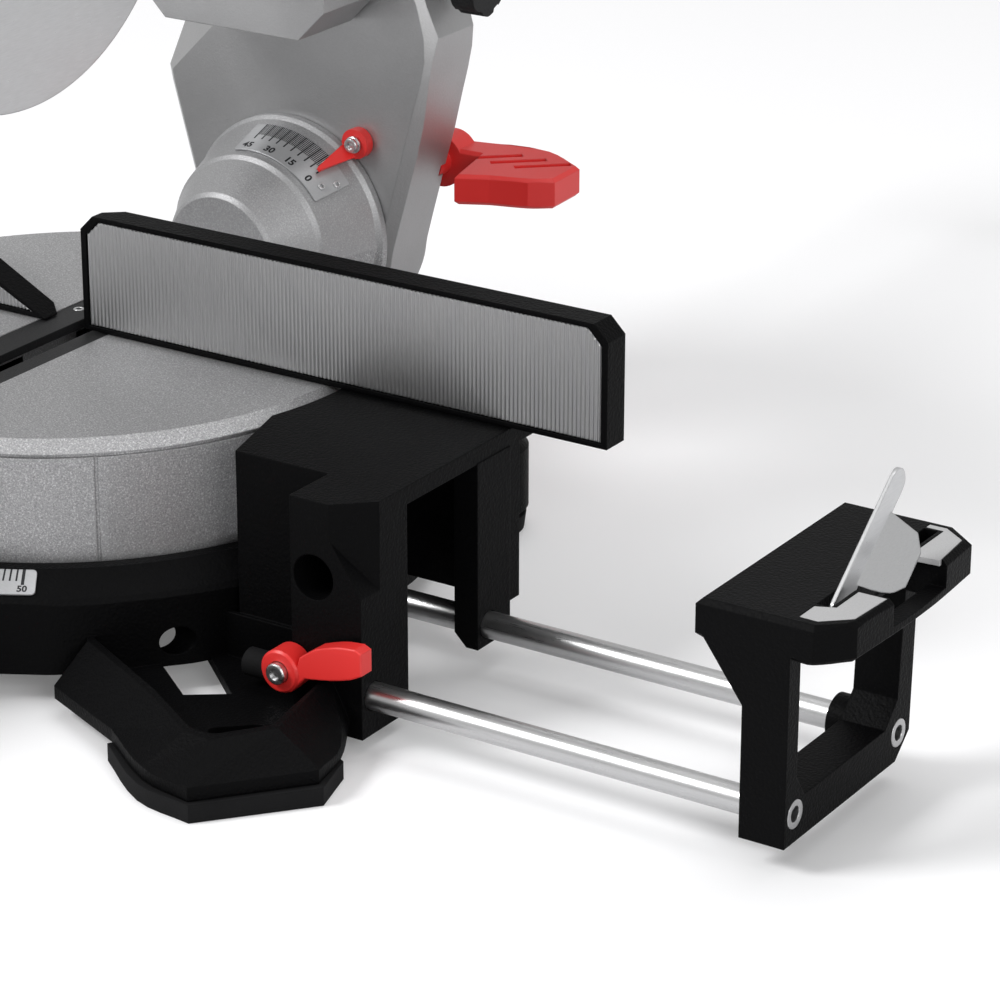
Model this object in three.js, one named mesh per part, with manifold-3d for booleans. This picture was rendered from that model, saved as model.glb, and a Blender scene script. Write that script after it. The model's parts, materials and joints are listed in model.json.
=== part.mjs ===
// Sliding compound mitre saw for a 216 mm blade, with pull-out work supports at both ends.
// Millimetres. x runs to the right with the blade plane at 0, y runs to the rear with the fence face
// at 0, z runs up from the bench. The saw stands at its rest pose: head up, supports pulled out.
import * as THREE from "three";
import { mergeVertices } from "three/addons/utils/BufferGeometryUtils.js";
import Module from "manifold-3d";

const wasm = await Module();
wasm.setup();

// Shared clearances and heights
const SEAT = 0.3; // gap between two pieces that touch
const OVERRUN = 3; // how far a cutting body runs past what it cuts
const TABLE_TOP = 108;
const END_X = 238; // right end of the fixed table
const FRONT_Y = 112; // front face of the rod housings, in front of the fence
const TURN_RADIUS = 148; // turntable wall
const MITRE_MOST = 50; // degrees each way
const TILT_MOST = 45; // degrees to the left
const DEGREE = Math.PI / 180;

// Sides that round forms get, by their size
const BIG_ROUND = 32;
const MID_ROUND = 20;
const SMALL_ROUND = 12;
const TINY_ROUND = 8;

// Base casting: turntable pan, wings, rod housings
const PAN_MARGIN = 24; // pan wall outside the turntable wall
const PAN_RADIUS = TURN_RADIUS + PAN_MARGIN;
const PAN_BOTTOM = 12;
const PAN_WALL = 9;
const PAN_FLOOR = 6;
const PAN_LIP_WIDTH = 6.4;
const PAN_LIP_RISE = 3.9;
const PAN_CONE_DROP = 8;
const PAN_EDGE = 2;
const PAN_HUB_RADIUS = 26;
const PAN_TRACK_WIDTH = 12;
const TRACK_GAP = 1.6; // round the outside of the turntable wall
const WING_PLATE = 8;
const WING_REAR = 34; // table behind the fence face
const WING_WALL_X = 155;
const WING_WALL_Y = 84;
const WING_WALL_THICK = 6;
const HOUSING_WIDTH = 35;
const HOUSING_BOTTOM = 6;
const HOUSING_BEVEL_X = 18.5;
const HOUSING_BEVEL_TOP = 11;
const HOUSING_BEVEL_FOOT = 39.5;
const HOUSING_HOLE_RADIUS = 10;
const HOUSING_HOLE_DEPTH = 24;
const HOUSING_HOLE_INSET = 23.6;
const HOUSING_HOLE_DROP = 34;
const APRON_THICK = 8;
const APRON_BOTTOM = 28;
const POST_WIDTH = 12;
const POST_DEPTH = 25;
const POST_BOTTOM = 14;

// Feet
const FOOT_REACH = 200; // front edge of the feet, in front of the fence
const SOLE_THICK = 8;
const SOLE_MARGIN = 2;
const FOOT_EDGE = 6; // upright edge above the sole
const FOOT_RIDGE = 25; // height of the ridge at the pad
const FOOT_RISE = 9; // extra height where the foot meets the pan
const FOOT_FLOOR = 5;
const SLOT_RADIUS = 4;
const SLOT_LENGTH = 16;
const REAR_FOOT_RADIUS = 24;
const REAR_FOOT_X = PAN_RADIUS - 1.25 * REAR_FOOT_RADIUS;
const REAR_FOOT_Y = REAR_FOOT_X - 20;

// Extension supports
const ROD_RADIUS = 6;
const ROD_BORE = 3.4;
const ROD_HEIGHT = 23.3;
const ROD_FRONT_Y = 103.5;
const ROD_REAR_Y = 16.8;
const ROD_INNER_X = 175;
const ROD_PLAY = 0.4;
const BRACKET_X = 436.4; // outer face of the bracket frame
const BRACKET_THICK = 20.2;
const BRACKET_BOTTOM = 11.3;
const BRACKET_BAR = 17.7; // height of the bottom bar
const BRACKET_FRONT_BAR = 8.8;
const BRACKET_REAR_BAR = 14;
const BRACKET_REAR_Y = 5; // rear edge of the frame, in front of the fence face
const BRACKET_CORNER = 10;
const HEAD_INNER_X = 394.8;
const HEAD_WIDTH = 65;
const HEAD_REAR = 7;
const HEAD_THICK = 16.7;
const HEAD_EDGE = 2.2;
const NECK_LIP = 10.5;
const NECK_DROP = 40;
const NECK_THICK = 15;
const BOSS_RADIUS = 10.5;
const BOSS_LENGTH = 8;
const INLAY_THICK = 2.4;
const STOP_SLOT_WIDTH = 6.2;
const STOP_SLOT_DEPTH = 14.4;
const STOP_SLOT_FRONT = 92;
const STOP_SLOT_REAR = 2;
const NOTCH_FRONT = 72;
const NOTCH_REAR = 27;
const NOTCH_RIM = 8;
const NOTCH_RIM_DROP = 11.5;

// Flip stop of sheet steel
const STOP_SHEET = 1.6;
const STOP_PIVOT_Y = 80;
const STOP_PIVOT_DROP = 7;
const STOP_LENGTH = 66;
const STOP_WIDTH = 12;
const STOP_ANGLE = 39;
const STOP_TAB_OUT = 10.9;
const STOP_TAB_DOWN = 17.5;
const STOP_TAB_START = 15;
const STOP_TAB_LENGTH = 34.4;
const STOP_PIN_RADIUS = 2;

// Clamp lever for the rods
const CLAMP_X = 204;
const CLAMP_Z = 33;
const CLAMP_HUB_RADIUS = 9.5;
const CLAMP_HUB_LENGTH = 11;
const CLAMP_REACH = 41;
const CLAMP_SCREW_RADIUS = 3;
const CLAMP_HEAD_RADIUS = 4.6;
const CLAMP_HEAD_LENGTH = 3.2;
const CLAMP_SCREW_DEPTH = 14;

// Fence
const FENCE_RIGHT_END = 286.5;
const FENCE_RISE = 55.5;
const FENCE_RISE_LEFT = 50; // lower, for the head when it tilts to the left
const FENCE_THICK = 14;
const FENCE_GAP_RIGHT = 7; // blade plane to the right half
const FENCE_GAP_LEFT = 16; // blade plane to the left half, at the table
const FENCE_BLADE_GAP = 5.5; // behind the face, where the blade passes at full mitre
const FENCE_LEAN = 96; // how far the left half leans away from the tilting blade
const FENCE_NICK = 7; // bevel on the upper corners
const FENCE_LIFT = 0.6;
const FENCE_BORDER_TOP = 2.2;
const FENCE_BORDER_END = 3;
const FENCE_RECESS = 2.4;
const FENCE_FLANGE = 17;
const FENCE_FLANGE_THICK = 8;
const RIB_PITCH = 4;
const RIB_DEPTH = 0.8;
const WEB_COUNT = 4;
const WEB_THICK = 5;
const WEB_HEIGHT = 20;

// Turntable with its mitre arm and the tilt drum
const TURN_BOTTOM = 50.4;
const TURN_PLATE = 11;
const TURN_WALL = 8;
const TURN_BAND = 7; // width of the sloping band round the top
const TURN_BAND_DROP = 5;
const TURN_GROOVE = 1.6;
const SEAM_ANGLES = [24.7, 42.5, 90, 137.5];
const SEAM_WIDTH = 1.4;
const SEAM_DEPTH = 1;
const ARM_ROOT_HALF = 46;
const ARM_ROOT_Y = TURN_RADIUS - 10;
const ARM_NECK_HALF = 30;
const ARM_NECK_Y = TURN_RADIUS + 20;
const ARM_END_HALF = 27;
const ARM_END_Y = TURN_RADIUS + 144;
const ARM_BOTTOM = 64;
const ARM_WALL = 6;
const KERF_FRONT = ARM_END_Y - 2 * ARM_WALL;
const KERF_REAR = 34;
const KERF_LEFT = 14;
const KERF_RIGHT = 14;
const KERF_FLOOR = 92;
const INSERT_LEDGE = 6;
const INSERT_THICK = 4;
const SLIT_LEFT = 3.5;
const SLIT_RIGHT = 10;
const SLIT_MARGIN = 6;
const HUB_RADIUS = 24;
const PIVOT_RADIUS = 8;
const PIVOT_TOP = 86;
const PIVOT_HEAD_RADIUS = 13;
const PIVOT_HEAD_LENGTH = 9;
const AXIS_Z = 110; // height of the tilt axis
const DRUM_REAR = PAN_RADIUS;
const DRUM_FRONT = DRUM_REAR - 60;
const DRUM_CAP_RADIUS = 32;
const DRUM_EDGE_Y = DRUM_REAR - 36;
const DRUM_EDGE_RADIUS = 45;
const DRUM_LIP_RADIUS = 57;
const DRUM_LIP_WIDTH = 6;
const TILT_BOLT_RADIUS = 8;
const TILT_BOLT_HEAD = 17;

// Scales and pointers
const PLATE_THICK = 0.8;
const MITRE_SCALE_ZERO = -19.4; // degrees from the front, where the pointer reads
const MITRE_SCALE_SPAN = 52;
const BEVEL_SCALE_FROM = 36; // degrees up from the right
const BEVEL_SCALE_TO = 102;
const BEVEL_SCALE_START = 0.1;
const BEVEL_SCALE_END = 0.8;
const POINTER_WIDTH = 10;
const POINTER_REACH = 14;
const POINTER_THICK = 3;
const NEEDLE_LENGTH = 24;
const NEEDLE_HUB = 7.5;
const NEEDLE_THICK = 5;
const NEEDLE_ANGLE = 50;
const NEEDLE_SCREW_RADIUS = 4.2;

// Mitre lock and detent at the end of the arm
const KNOB_RADIUS = 23;
const KNOB_LENGTH = 56;
const KNOB_Z = 82;
const KNOB_SHAFT = 7;
const KNOB_COLLAR = 9;
const KNOB_FLUTES = 6;
const DETENT_WIDTH = 30;
const DETENT_LENGTH = 44;
const DETENT_THICK = 5;
const DETENT_PIN_RADIUS = 3;

// Tilting arm behind the turntable
const TILT_FRONT = DRUM_REAR;
const TILT_DEPTH = 40;
const TILT_TOP = 276;
const TILT_SHOULDER = 84;
const TILT_SHOULDER_Z = 216;
const TILT_WAIST = 75;
const TILT_WAIST_Z = 171;
const TILT_CROWN = 62;
const TILT_CHAMFER = 5;
const TILT_POCKET = 9;
const RELIEF_SHARES = [0.8, 1]; // of the full tilt, where the arm is cut back for the fence
const LEVER_PIVOT_X = 61;
const LEVER_PIVOT_Z = 143;
const LEVER_HUB_RADIUS = 13;
const LEVER_THICK = 15;
const LEVER_REACH = 76;
const LEVER_DEPTH = 46;
const LEVER_GROOVE = 2.2;

// Slide
const RAIL_X = 34;
const RAIL_Z = 240;
const RAIL_RADIUS = 12.5;
const RAIL_PLAY = 0.35;
const RAIL_REAR = 468;
const CAP_DEPTH = 18;
const CAP_MARGIN = 6;
const BLOCK_REAR = TILT_FRONT - 10 * SEAT;
const BLOCK_FRONT = BLOCK_REAR - 43;
const RAIL_FRONT = BLOCK_FRONT + CAP_MARGIN;
const BLOCK_HALF = 54;
const BLOCK_CHAMFER = 15; // lower corners, which pass over the left fence
const LINK_GAP = 1.6; // below the head's link when the head is down
const BLOCK_BOTTOM = 220;
const BLOCK_TOP = 260;
const EAR_INNER = 25;
const EAR_OUTER = 41;
const SLIDE_KNOB_RADIUS = 14;
const SLIDE_KNOB_LENGTH = 18;
const SLIDE_SCREW_RADIUS = 4;

// Head
const PIN_Y = BLOCK_REAR - 21;
const PIN_Z = 284;
const PIN_RADIUS = 7;
const LUG_RADIUS = 19;
const BLADE_Y = -30;
const BLADE_Z = 335;
const BLADE_RADIUS = 108;
const BLADE_THICK = 1.8;
const BLADE_TEETH = 24;
const TOOTH_DEPTH = 8.5;
const TOOTH_FALL_SHARE = 0.2;
const BLADE_BORE = 8.2;
const SHELL_RADIUS = BLADE_RADIUS + 13;
const SHELL_HALF = 11.5;
const SHELL_WALL = 3;
const SHELL_FROM = -20;
const SHELL_TO = 176;
const GUARD_RADIUS = BLADE_RADIUS + 7;
const GUARD_HALF = 5.5;
const GUARD_WALL = 1.8;
const GUARD_BORE = 27;
const GUARD_HUB = 34;
const GUARD_FROM = 172;
const GUARD_TO = 352;
const GEAR_RADIUS = 33;
const GEAR_LENGTH = 34;
const MOTOR_DY = 36;
const MOTOR_DZ = 22;
const MOTOR_RADIUS = 42;
const MOTOR_LENGTH = 104;
const MOTOR_CAP_LENGTH = 24;
const VENT_COUNT = 10;
const VENT_LENGTH = 30;
const VENT_DEPTH = 3;
const GLAND_RADIUS = 7;
const GLAND_LENGTH = 16;
const SHAFT_RADIUS = 7.9;
const FLANGE_RADIUS = 22;
const FLANGE_THICK = 2;
const BOLT_RADIUS = 9;
const BOLT_LENGTH = 6;
const LOCK_BUTTON_RADIUS = 6;
const LOCK_BUTTON_LENGTH = 8;
const LOCK_TRAVEL = 4;
const PORT_RADIUS = 19;
const PORT_BORE = 16;
const PORT_LENGTH = 44;
const PORT_ANGLE = 38;
const HANDLE_HALF = 14;
const HANDLE_EDGE = 4;
const HANDLE_LENGTH = 128;
const HANDLE_HEIGHT = 104;
const HANDLE_BAR = 25;
const HANDLE_Y = BLADE_Y - SHELL_RADIUS - 27;
const HANDLE_Z = BLADE_Z + SHELL_RADIUS - 32;
const TRIGGER_SHARE = 0.265625; // of the handle's length
const TRIGGER_LENGTH = HANDLE_LENGTH * TRIGGER_SHARE;
const TRIGGER_DEPTH = 11;
const TRIGGER_HALF = 8;
const BUTTON_RADIUS = 5;
const BUTTON_LENGTH = 5;
const TRANSPORT_RADIUS = 5;
const TRANSPORT_AHEAD = 28; // from the head pivot to the pin
const TRANSPORT_BELOW = 18;
const TRANSPORT_BOSS = 11;
const TRANSPORT_TRAVEL = 12;
const TRANSPORT_KNOB = 13;
const CHOP_ANGLE = 41; // from head up to head down

// Finishes
const finish = (color, roughness, metalness) =>
  new THREE.MeshStandardMaterial({ color, roughness, metalness });
const BLACK_COAT = finish(0x1b1b1e, 0.62, 0.1);
const BLACK_RUBBER = finish(0x141414, 0.85, 0);
const DARK_PLASTIC = finish(0x202124, 0.5, 0);
const RED_PLASTIC = finish(0xc5221f, 0.42, 0);
const CAST_SILVER = finish(0x8f8f90, 0.48, 0.7);
const SATIN_CAST = finish(0x9b9b9b, 0.38, 0.85);
const STEEL = finish(0xc2c4c6, 0.24, 1);
const SHEET_STEEL = finish(0xb9bbbd, 0.34, 0.95);
const SCALE_PLATE = finish(0xb8babd, 0.4, 0.5);
const INLAY_GREY = finish(0xb4b4b4, 0.55, 0.15);

// Solid helpers
const turn = (a) => a * DEGREE;
const pt = (x, y) => new THREE.Vector2(x, y);

// A closed geometry as a solid with its faces pointing out.
function solid(geometry) {
  const bare = geometry.index ? geometry.toNonIndexed() : geometry.clone();
  bare.deleteAttribute("normal");
  bare.deleteAttribute("uv");
  const merged = mergeVertices(bare, 1e-4);
  const make = (triVerts) =>
    new wasm.Manifold(
      new wasm.Mesh({ numProp: 3, vertProperties: merged.attributes.position.array, triVerts }),
    );
  const corners = [...merged.index.array];
  const order = new Uint32Array(
    corners.filter((_, i) => {
      const [a, b, c] = corners.slice(i - (i % 3), i - (i % 3) + 3);
      return a !== b && b !== c && c !== a;
    }),
  );
  const body = make(order);
  if (body.volume() > 0) return body;
  for (let i = 0; i < order.length; i += 3) [order[i], order[i + 1]] = [order[i + 1], order[i]];
  return make(order);
}

const join = (...bodies) => bodies.reduce((a, b) => a.add(b));
const cut = (body, ...tools) => tools.reduce((a, b) => a.subtract(b), body);

// A solid back as a flat-shaded named mesh.
function meshOf(name, body, material) {
  const made = body.getMesh();
  const size = made.numProp;
  const places = new Float32Array(made.numVert * 3);
  for (let i = 0; i < made.numVert; i++) {
    places.set(made.vertProperties.subarray(i * size, i * size + 3), i * 3);
  }
  const geometry = new THREE.BufferGeometry();
  geometry.setAttribute("position", new THREE.BufferAttribute(places, 3));
  geometry.setIndex(new THREE.BufferAttribute(new Uint32Array(made.triVerts), 1));
  const flat = geometry.toNonIndexed();
  flat.computeVertexNormals();
  const mesh = new THREE.Mesh(flat, material);
  mesh.name = name;
  return mesh;
}

// Axes that an outline is drawn in, and the axis that it is pushed along.
const PLANES = {
  x: new THREE.Matrix4().set(0, 0, 1, 0, 1, 0, 0, 0, 0, 1, 0, 0, 0, 0, 0, 1),
  y: new THREE.Matrix4().set(1, 0, 0, 0, 0, 0, 1, 0, 0, 1, 0, 0, 0, 0, 0, 1),
  z: new THREE.Matrix4(),
};

// An outline pushed along an axis from one place to another. Outline points are (y, z) for x,
// (x, z) for y and (x, y) for z.
function prism(axis, outline, from, to, holes = [], edge = 0) {
  const shape = outline instanceof THREE.Shape ? outline : new THREE.Shape(outline);
  shape.holes.push(...holes);
  const geometry = new THREE.ExtrudeGeometry(shape, {
    depth: to - from - 2 * edge,
    curveSegments: 8,
    bevelEnabled: edge > 0,
    bevelThickness: edge,
    bevelSize: edge,
    bevelOffset: -edge,
    bevelSegments: 1,
  });
  geometry.translate(0, 0, from + edge);
  geometry.applyMatrix4(PLANES[axis]);
  return solid(geometry);
}

const box = (x0, x1, y0, y1, z0, z1) =>
  solid(
    new THREE.BoxGeometry(x1 - x0, y1 - y0, z1 - z0).translate(
      (x0 + x1) / 2,
      (y0 + y1) / 2,
      (z0 + z1) / 2,
    ),
  );

// A profile of (radius, height) turned round an axis through (u, v).
function turned(axis, profile, u, v, steps = MID_ROUND) {
  const geometry = new THREE.LatheGeometry(
    profile.map(([r, h]) => pt(Math.max(r, 0), h)),
    steps,
  );
  if (axis === "z") geometry.rotateX(Math.PI / 2).translate(u, v, 0);
  if (axis === "y") geometry.translate(u, 0, v);
  if (axis === "x") geometry.rotateZ(-Math.PI / 2).translate(0, u, v);
  return solid(geometry);
}

// A round bar along an axis, through (u, v), from one place to another.
const bar = (axis, radius, from, to, u, v, steps = SMALL_ROUND) =>
  turned(axis, [[0, from], [radius, from], [radius, to], [0, to]], u, v, steps);

// A body between matching rings of points, closed at both ends.
function loft(given) {
  const clockwise = THREE.ShapeUtils.isClockWise(given[0].map((p) => pt(p.x, p.y)));
  const rings = clockwise ? given.map((ring) => ring.toReversed()) : given;
  const count = rings[0].length;
  const places = rings.flat().flatMap((p) => [p.x, p.y, p.z]);
  const faces = [];
  for (let k = 0; k + 1 < rings.length; k++) {
    for (let i = 0; i < count; i++) {
      const j = (i + 1) % count;
      const [a, b, c, d] = [k * count + i, k * count + j, (k + 1) * count + j, (k + 1) * count + i];
      faces.push(a, b, c, a, c, d);
    }
  }
  const first = rings[0].map((p) => pt(p.x, p.y));
  const last = rings.at(-1).map((p) => pt(p.x, p.y));
  const base = (rings.length - 1) * count;
  for (const [a, b, c] of THREE.ShapeUtils.triangulateShape(first, [])) faces.push(c, b, a);
  for (const [a, b, c] of THREE.ShapeUtils.triangulateShape(last, [])) {
    faces.push(base + a, base + b, base + c);
  }
  const geometry = new THREE.BufferGeometry();
  geometry.setAttribute("position", new THREE.Float32BufferAttribute(places, 3));
  geometry.setIndex(faces);
  return solid(geometry);
}

// A body moved by a matrix, such as a mirror image or a turned copy.
const moved = (body, matrix) => solid(meshOf("moved", body).geometry.applyMatrix4(matrix));
const MIRROR = new THREE.Matrix4().makeScale(-1, 1, 1);
const sided = (body, side) => (side > 0 ? body : moved(body, MIRROR));
const spun = (body, axis, degrees, at = new THREE.Vector3()) => {
  const there = new THREE.Matrix4().makeTranslation(at.x, at.y, at.z);
  const round = new THREE.Matrix4().makeRotationAxis(axis, turn(degrees));
  const back = new THREE.Matrix4().makeTranslation(-at.x, -at.y, -at.z);
  return moved(body, there.multiply(round).multiply(back));
};
const X_AXIS = new THREE.Vector3(1, 0, 0);
const Y_AXIS = new THREE.Vector3(0, 1, 0);
const Z_AXIS = new THREE.Vector3(0, 0, 1);

// A point at a distance and an angle in degrees from (u, v), and points along an arc about it.
const polar = (u, v, radius, a) =>
  pt(u + radius * Math.cos(turn(a)), v + radius * Math.sin(turn(a)));
const arc = (u, v, radius, from, to, steps) =>
  Array.from({ length: steps + 1 }, (_, i) => polar(u, v, radius, from + ((to - from) * i) / steps));

// An outline drawn in by a gap on every side.
function inset(points, gap) {
  const sense = THREE.ShapeUtils.isClockWise(points) ? -gap : gap;
  return points.map((p, i) => {
    const a = p.clone().sub(points.at(i - 1)).normalize();
    const b = points[(i + 1) % points.length].clone().sub(p).normalize();
    const share = sense / (1 + a.dot(b));
    return pt(p.x - (a.y + b.y) * share, p.y + (a.x + b.x) * share);
  });
}

// Points given as shares of a width and a depth, from a corner.
const placed = (shares, x, y, width, depth) => shares.map(([a, b]) => pt(x + a * width, y + b * depth));

// Sides of the saw that have the same pieces: right, then left.
const SIDES = [
  { name: "right", side: 1 },
  { name: "left", side: -1 },
];

// Base casting
const LIP_TOP = TURN_BOTTOM + PAN_LIP_RISE;
const LIP_INNER = TURN_RADIUS + TRACK_GAP;
const LIP_OUTER = LIP_INNER + PAN_LIP_WIDTH;
const CONE_OUTER = PAN_RADIUS - PAN_EDGE;
const CONE_FOOT = LIP_TOP - PAN_CONE_DROP;
const TRACK_Z = TURN_BOTTOM - SEAT;
const PLATE_BOTTOM = TABLE_TOP - WING_PLATE;

function panBody() {
  const floor = TRACK_Z - PAN_FLOOR;
  const under = floor - PAN_FLOOR;
  return turned(
    "z",
    [
      [PIVOT_RADIUS + SEAT, under],
      [PIVOT_RADIUS + SEAT, TRACK_Z],
      [PAN_HUB_RADIUS, TRACK_Z],
      [PAN_HUB_RADIUS, floor],
      [LIP_INNER - PAN_TRACK_WIDTH, floor],
      [LIP_INNER - PAN_TRACK_WIDTH, TRACK_Z],
      [LIP_INNER, TRACK_Z],
      [LIP_INNER, LIP_TOP],
      [LIP_OUTER, LIP_TOP],
      [CONE_OUTER, CONE_FOOT],
      [PAN_RADIUS, CONE_FOOT - PAN_EDGE],
      [PAN_RADIUS, PAN_BOTTOM],
      [PAN_RADIUS - PAN_WALL, PAN_BOTTOM],
      [PAN_RADIUS - PAN_WALL, under],
      [PIVOT_RADIUS + SEAT, under],
    ],
    0,
    0,
    BIG_ROUND,
  );
}

// Housing for the front rod, with its bevelled corner and the lightening hole.
function rodHousing() {
  const left = END_X - HOUSING_WIDTH;
  const body = prism(
    "x",
    [
      pt(-FRONT_Y, HOUSING_BOTTOM),
      pt(-WING_WALL_Y, HOUSING_BOTTOM),
      pt(-WING_WALL_Y, TABLE_TOP),
      pt(-FRONT_Y, TABLE_TOP),
    ],
    left,
    END_X,
  );
  const bevelTop = TABLE_TOP - HOUSING_BEVEL_TOP;
  const bevelFoot = TABLE_TOP - HOUSING_BEVEL_FOOT;
  const far = OVERRUN + WING_PLATE;
  const bevel = loft(
    [-FRONT_Y - OVERRUN, (-FRONT_Y - WING_WALL_Y) / 2].map((y, i) => [
      new THREE.Vector3(END_X - HOUSING_BEVEL_X * (1 - i), y, bevelTop),
      new THREE.Vector3(END_X + SEAT * (1 - i) + SEAT, y, bevelFoot),
      new THREE.Vector3(END_X + far, y, bevelFoot),
      new THREE.Vector3(END_X + far, y, TABLE_TOP + far),
      new THREE.Vector3(END_X - HOUSING_BEVEL_X * (1 - i), y, TABLE_TOP + far),
    ]).map((ring) => ring.map((p) => new THREE.Vector3(p.x, p.z, -p.y))),
  );
  const upright = new THREE.Matrix4().makeRotationX(Math.PI / 2);
  const hole = bar(
    "y",
    HOUSING_HOLE_RADIUS,
    -FRONT_Y - OVERRUN,
    HOUSING_HOLE_DEPTH - FRONT_Y,
    END_X - HOUSING_HOLE_INSET,
    TABLE_TOP - HOUSING_HOLE_DROP,
  );
  return cut(body, moved(bevel, upright), hole);
}

// Wing of the table: plate with the turntable's arc cut out, walls, apron and rear post.
function wingBody() {
  const inner = TURN_RADIUS + TRACK_GAP;
  const rearAngle = Math.asin(WING_REAR / inner) / DEGREE;
  const frontAngle = -Math.asin(WING_WALL_Y / 2 / inner) / DEGREE;
  const outline = [
    ...arc(0, 0, inner, frontAngle, rearAngle, 8),
    pt(END_X, WING_REAR),
    pt(END_X, -WING_WALL_Y),
    pt(WING_WALL_X, -WING_WALL_Y),
  ];
  const plate = prism("z", outline, PLATE_BOTTOM, TABLE_TOP);
  const wallInner = WING_WALL_THICK - WING_WALL_Y;
  const frontWall = box(
    WING_WALL_X,
    END_X,
    -WING_WALL_Y,
    wallInner,
    PAN_BOTTOM,
    PLATE_BOTTOM + SEAT,
  );
  const apron = box(
    inner,
    END_X,
    0,
    APRON_THICK,
    APRON_BOTTOM,
    PLATE_BOTTOM + SEAT,
  );
  const post = prism(
    "y",
    [
      pt(END_X + SEAT - POST_WIDTH, POST_BOTTOM + POST_WIDTH / 2),
      pt(END_X + SEAT - POST_WIDTH / 2, POST_BOTTOM),
      pt(END_X + SEAT, POST_BOTTOM),
      pt(END_X + SEAT, PLATE_BOTTOM + SEAT),
      pt(END_X + SEAT - POST_WIDTH, PLATE_BOTTOM + SEAT),
    ],
    -POST_DEPTH - SEAT,
    SEAT,
  );
  return join(plate, frontWall, apron, post, rodHousing());
}

// Outline of a front foot and the ridge that its top rises to, as shares of END_X and FOOT_REACH.
const footShares = [
  [0.42, -0.42],
  [0.45, -0.655],
  [0.455, -0.765],
  [0.65, -0.865],
  [0.785, -0.97],
  [0.9, -1],
  [1.045, -0.79],
  [1.02, -0.67],
  [0.97, -0.56],
  [0.97, -0.42],
];
const ridgeShares = [
  [0.42, -0.42],
  [0.45, -0.64],
  [0.47, -0.67],
  [0.68, -0.785],
  [0.82, -0.88],
  [0.875, -0.885],
  [0.955, -0.78],
  [0.94, -0.66],
  [0.93, -0.55],
  [0.93, -0.42],
];
const pocketShares = [
  [0.475, -0.43],
  [0.475, -0.655],
  [0.685, -0.77],
  [0.822, -0.862],
  [0.868, -0.866],
  [0.94, -0.775],
  [0.925, -0.57],
  [0.9, -0.43],
  [0.66, -0.43],
];
const windowShares = [
  [0.5, -0.5],
  [0.665, -0.645],
  [0.735, -0.585],
  [0.56, -0.41],
  [0.5, -0.43],
];
const padShares = [
  [0.64, -0.865],
  [0.775, -0.975],
  [0.9, -1],
  [1.05, -0.79],
  [1.02, -0.67],
  [0.95, -0.63],
  [0.9, -0.75],
  [0.83, -0.82],
  [0.7, -0.75],
];
const footOutline = (shares, grow = 0) => placed(shares, 0, 0, END_X + grow, FOOT_REACH + grow);

function slotTool() {
  const x = END_X * 0.83;
  const y = -FOOT_REACH * 0.72;
  const half = SLOT_LENGTH / 2;
  const ends = [
    ...arc(half, 0, SLOT_RADIUS, -90, 90, 6),
    ...arc(-half, 0, SLOT_RADIUS, 90, 270, 6),
  ];
  const tool = prism("z", ends, -OVERRUN, FOOT_RIDGE);
  return moved(
    spun(tool, Z_AXIS, 42),
    new THREE.Matrix4().makeTranslation(x, y, 0),
  );
}

// Front foot: a ridged frame round a sunk floor, with a window beside the pan.
function frontFoot() {
  const level = (points, height) =>
    points.map((p) => new THREE.Vector3(p.x, p.y, height(p)));
  const rise = (p) =>
    FOOT_RIDGE + FOOT_RISE * THREE.MathUtils.clamp(2.2 + (2.2 * p.y) / FOOT_REACH - 0.3, 0, 1);
  const under = SOLE_THICK + SEAT;
  const outer = footOutline(footShares);
  const body = loft([
    level(outer, () => under),
    level(outer, () => under + FOOT_EDGE),
    level(footOutline(ridgeShares), rise),
  ]);
  const pocket = prism(
    "z",
    footOutline(pocketShares),
    under + FOOT_FLOOR,
    FOOT_RIDGE + 2 * FOOT_RISE,
  );
  const window = prism("z", footOutline(windowShares), 0, FOOT_RIDGE);
  return cut(body, pocket, window, slotTool());
}

// Rear foot: a tapered bracket behind the pan with a round pad.
function rearFoot() {
  const under = SOLE_THICK + SEAT;
  const toward = Math.atan2(REAR_FOOT_Y, REAR_FOOT_X) / DEGREE;
  const length = Math.hypot(REAR_FOOT_X, REAR_FOOT_Y);
  const near = PAN_RADIUS - PAN_WALL / 2;
  const outline = [
    pt(near, -REAR_FOOT_RADIUS * 1.4),
    ...arc(length, 0, REAR_FOOT_RADIUS, -80, 80, 8),
    pt(near, REAR_FOOT_RADIUS * 1.4),
  ];
  const body = prism("z", outline, under, CONE_FOOT - PAN_EDGE, [], FOOT_EDGE / 2);
  return spun(body, Z_AXIS, toward);
}

function baseCasting() {
  const rods = [ROD_FRONT_Y, ROD_REAR_Y].map((y) =>
    bar("x", ROD_RADIUS + ROD_PLAY, 0, END_X + OVERRUN, -y, ROD_HEIGHT, SMALL_ROUND),
  );
  const clampBore = bar(
    "y",
    CLAMP_SCREW_RADIUS + SEAT,
    -FRONT_Y - OVERRUN,
    CLAMP_SCREW_DEPTH + SEAT - FRONT_Y,
    CLAMP_X,
    CLAMP_Z,
    SMALL_ROUND,
  );
  const half = cut(join(wingBody(), frontFoot(), rearFoot()), clampBore);
  const hollow = bar("z", LIP_INNER, TRACK_Z, TABLE_TOP + OVERRUN, 0, 0, BIG_ROUND);
  const inside = bar("z", PAN_RADIUS - PAN_WALL, -OVERRUN, TRACK_Z - 2 * PAN_FLOOR, 0, 0, BIG_ROUND);
  const rim = cut(half, hollow, inside);
  const whole = join(panBody(), rim, moved(rim, MIRROR));
  return cut(whole, ...rods, ...rods.map((r) => moved(r, MIRROR)));
}

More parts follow.
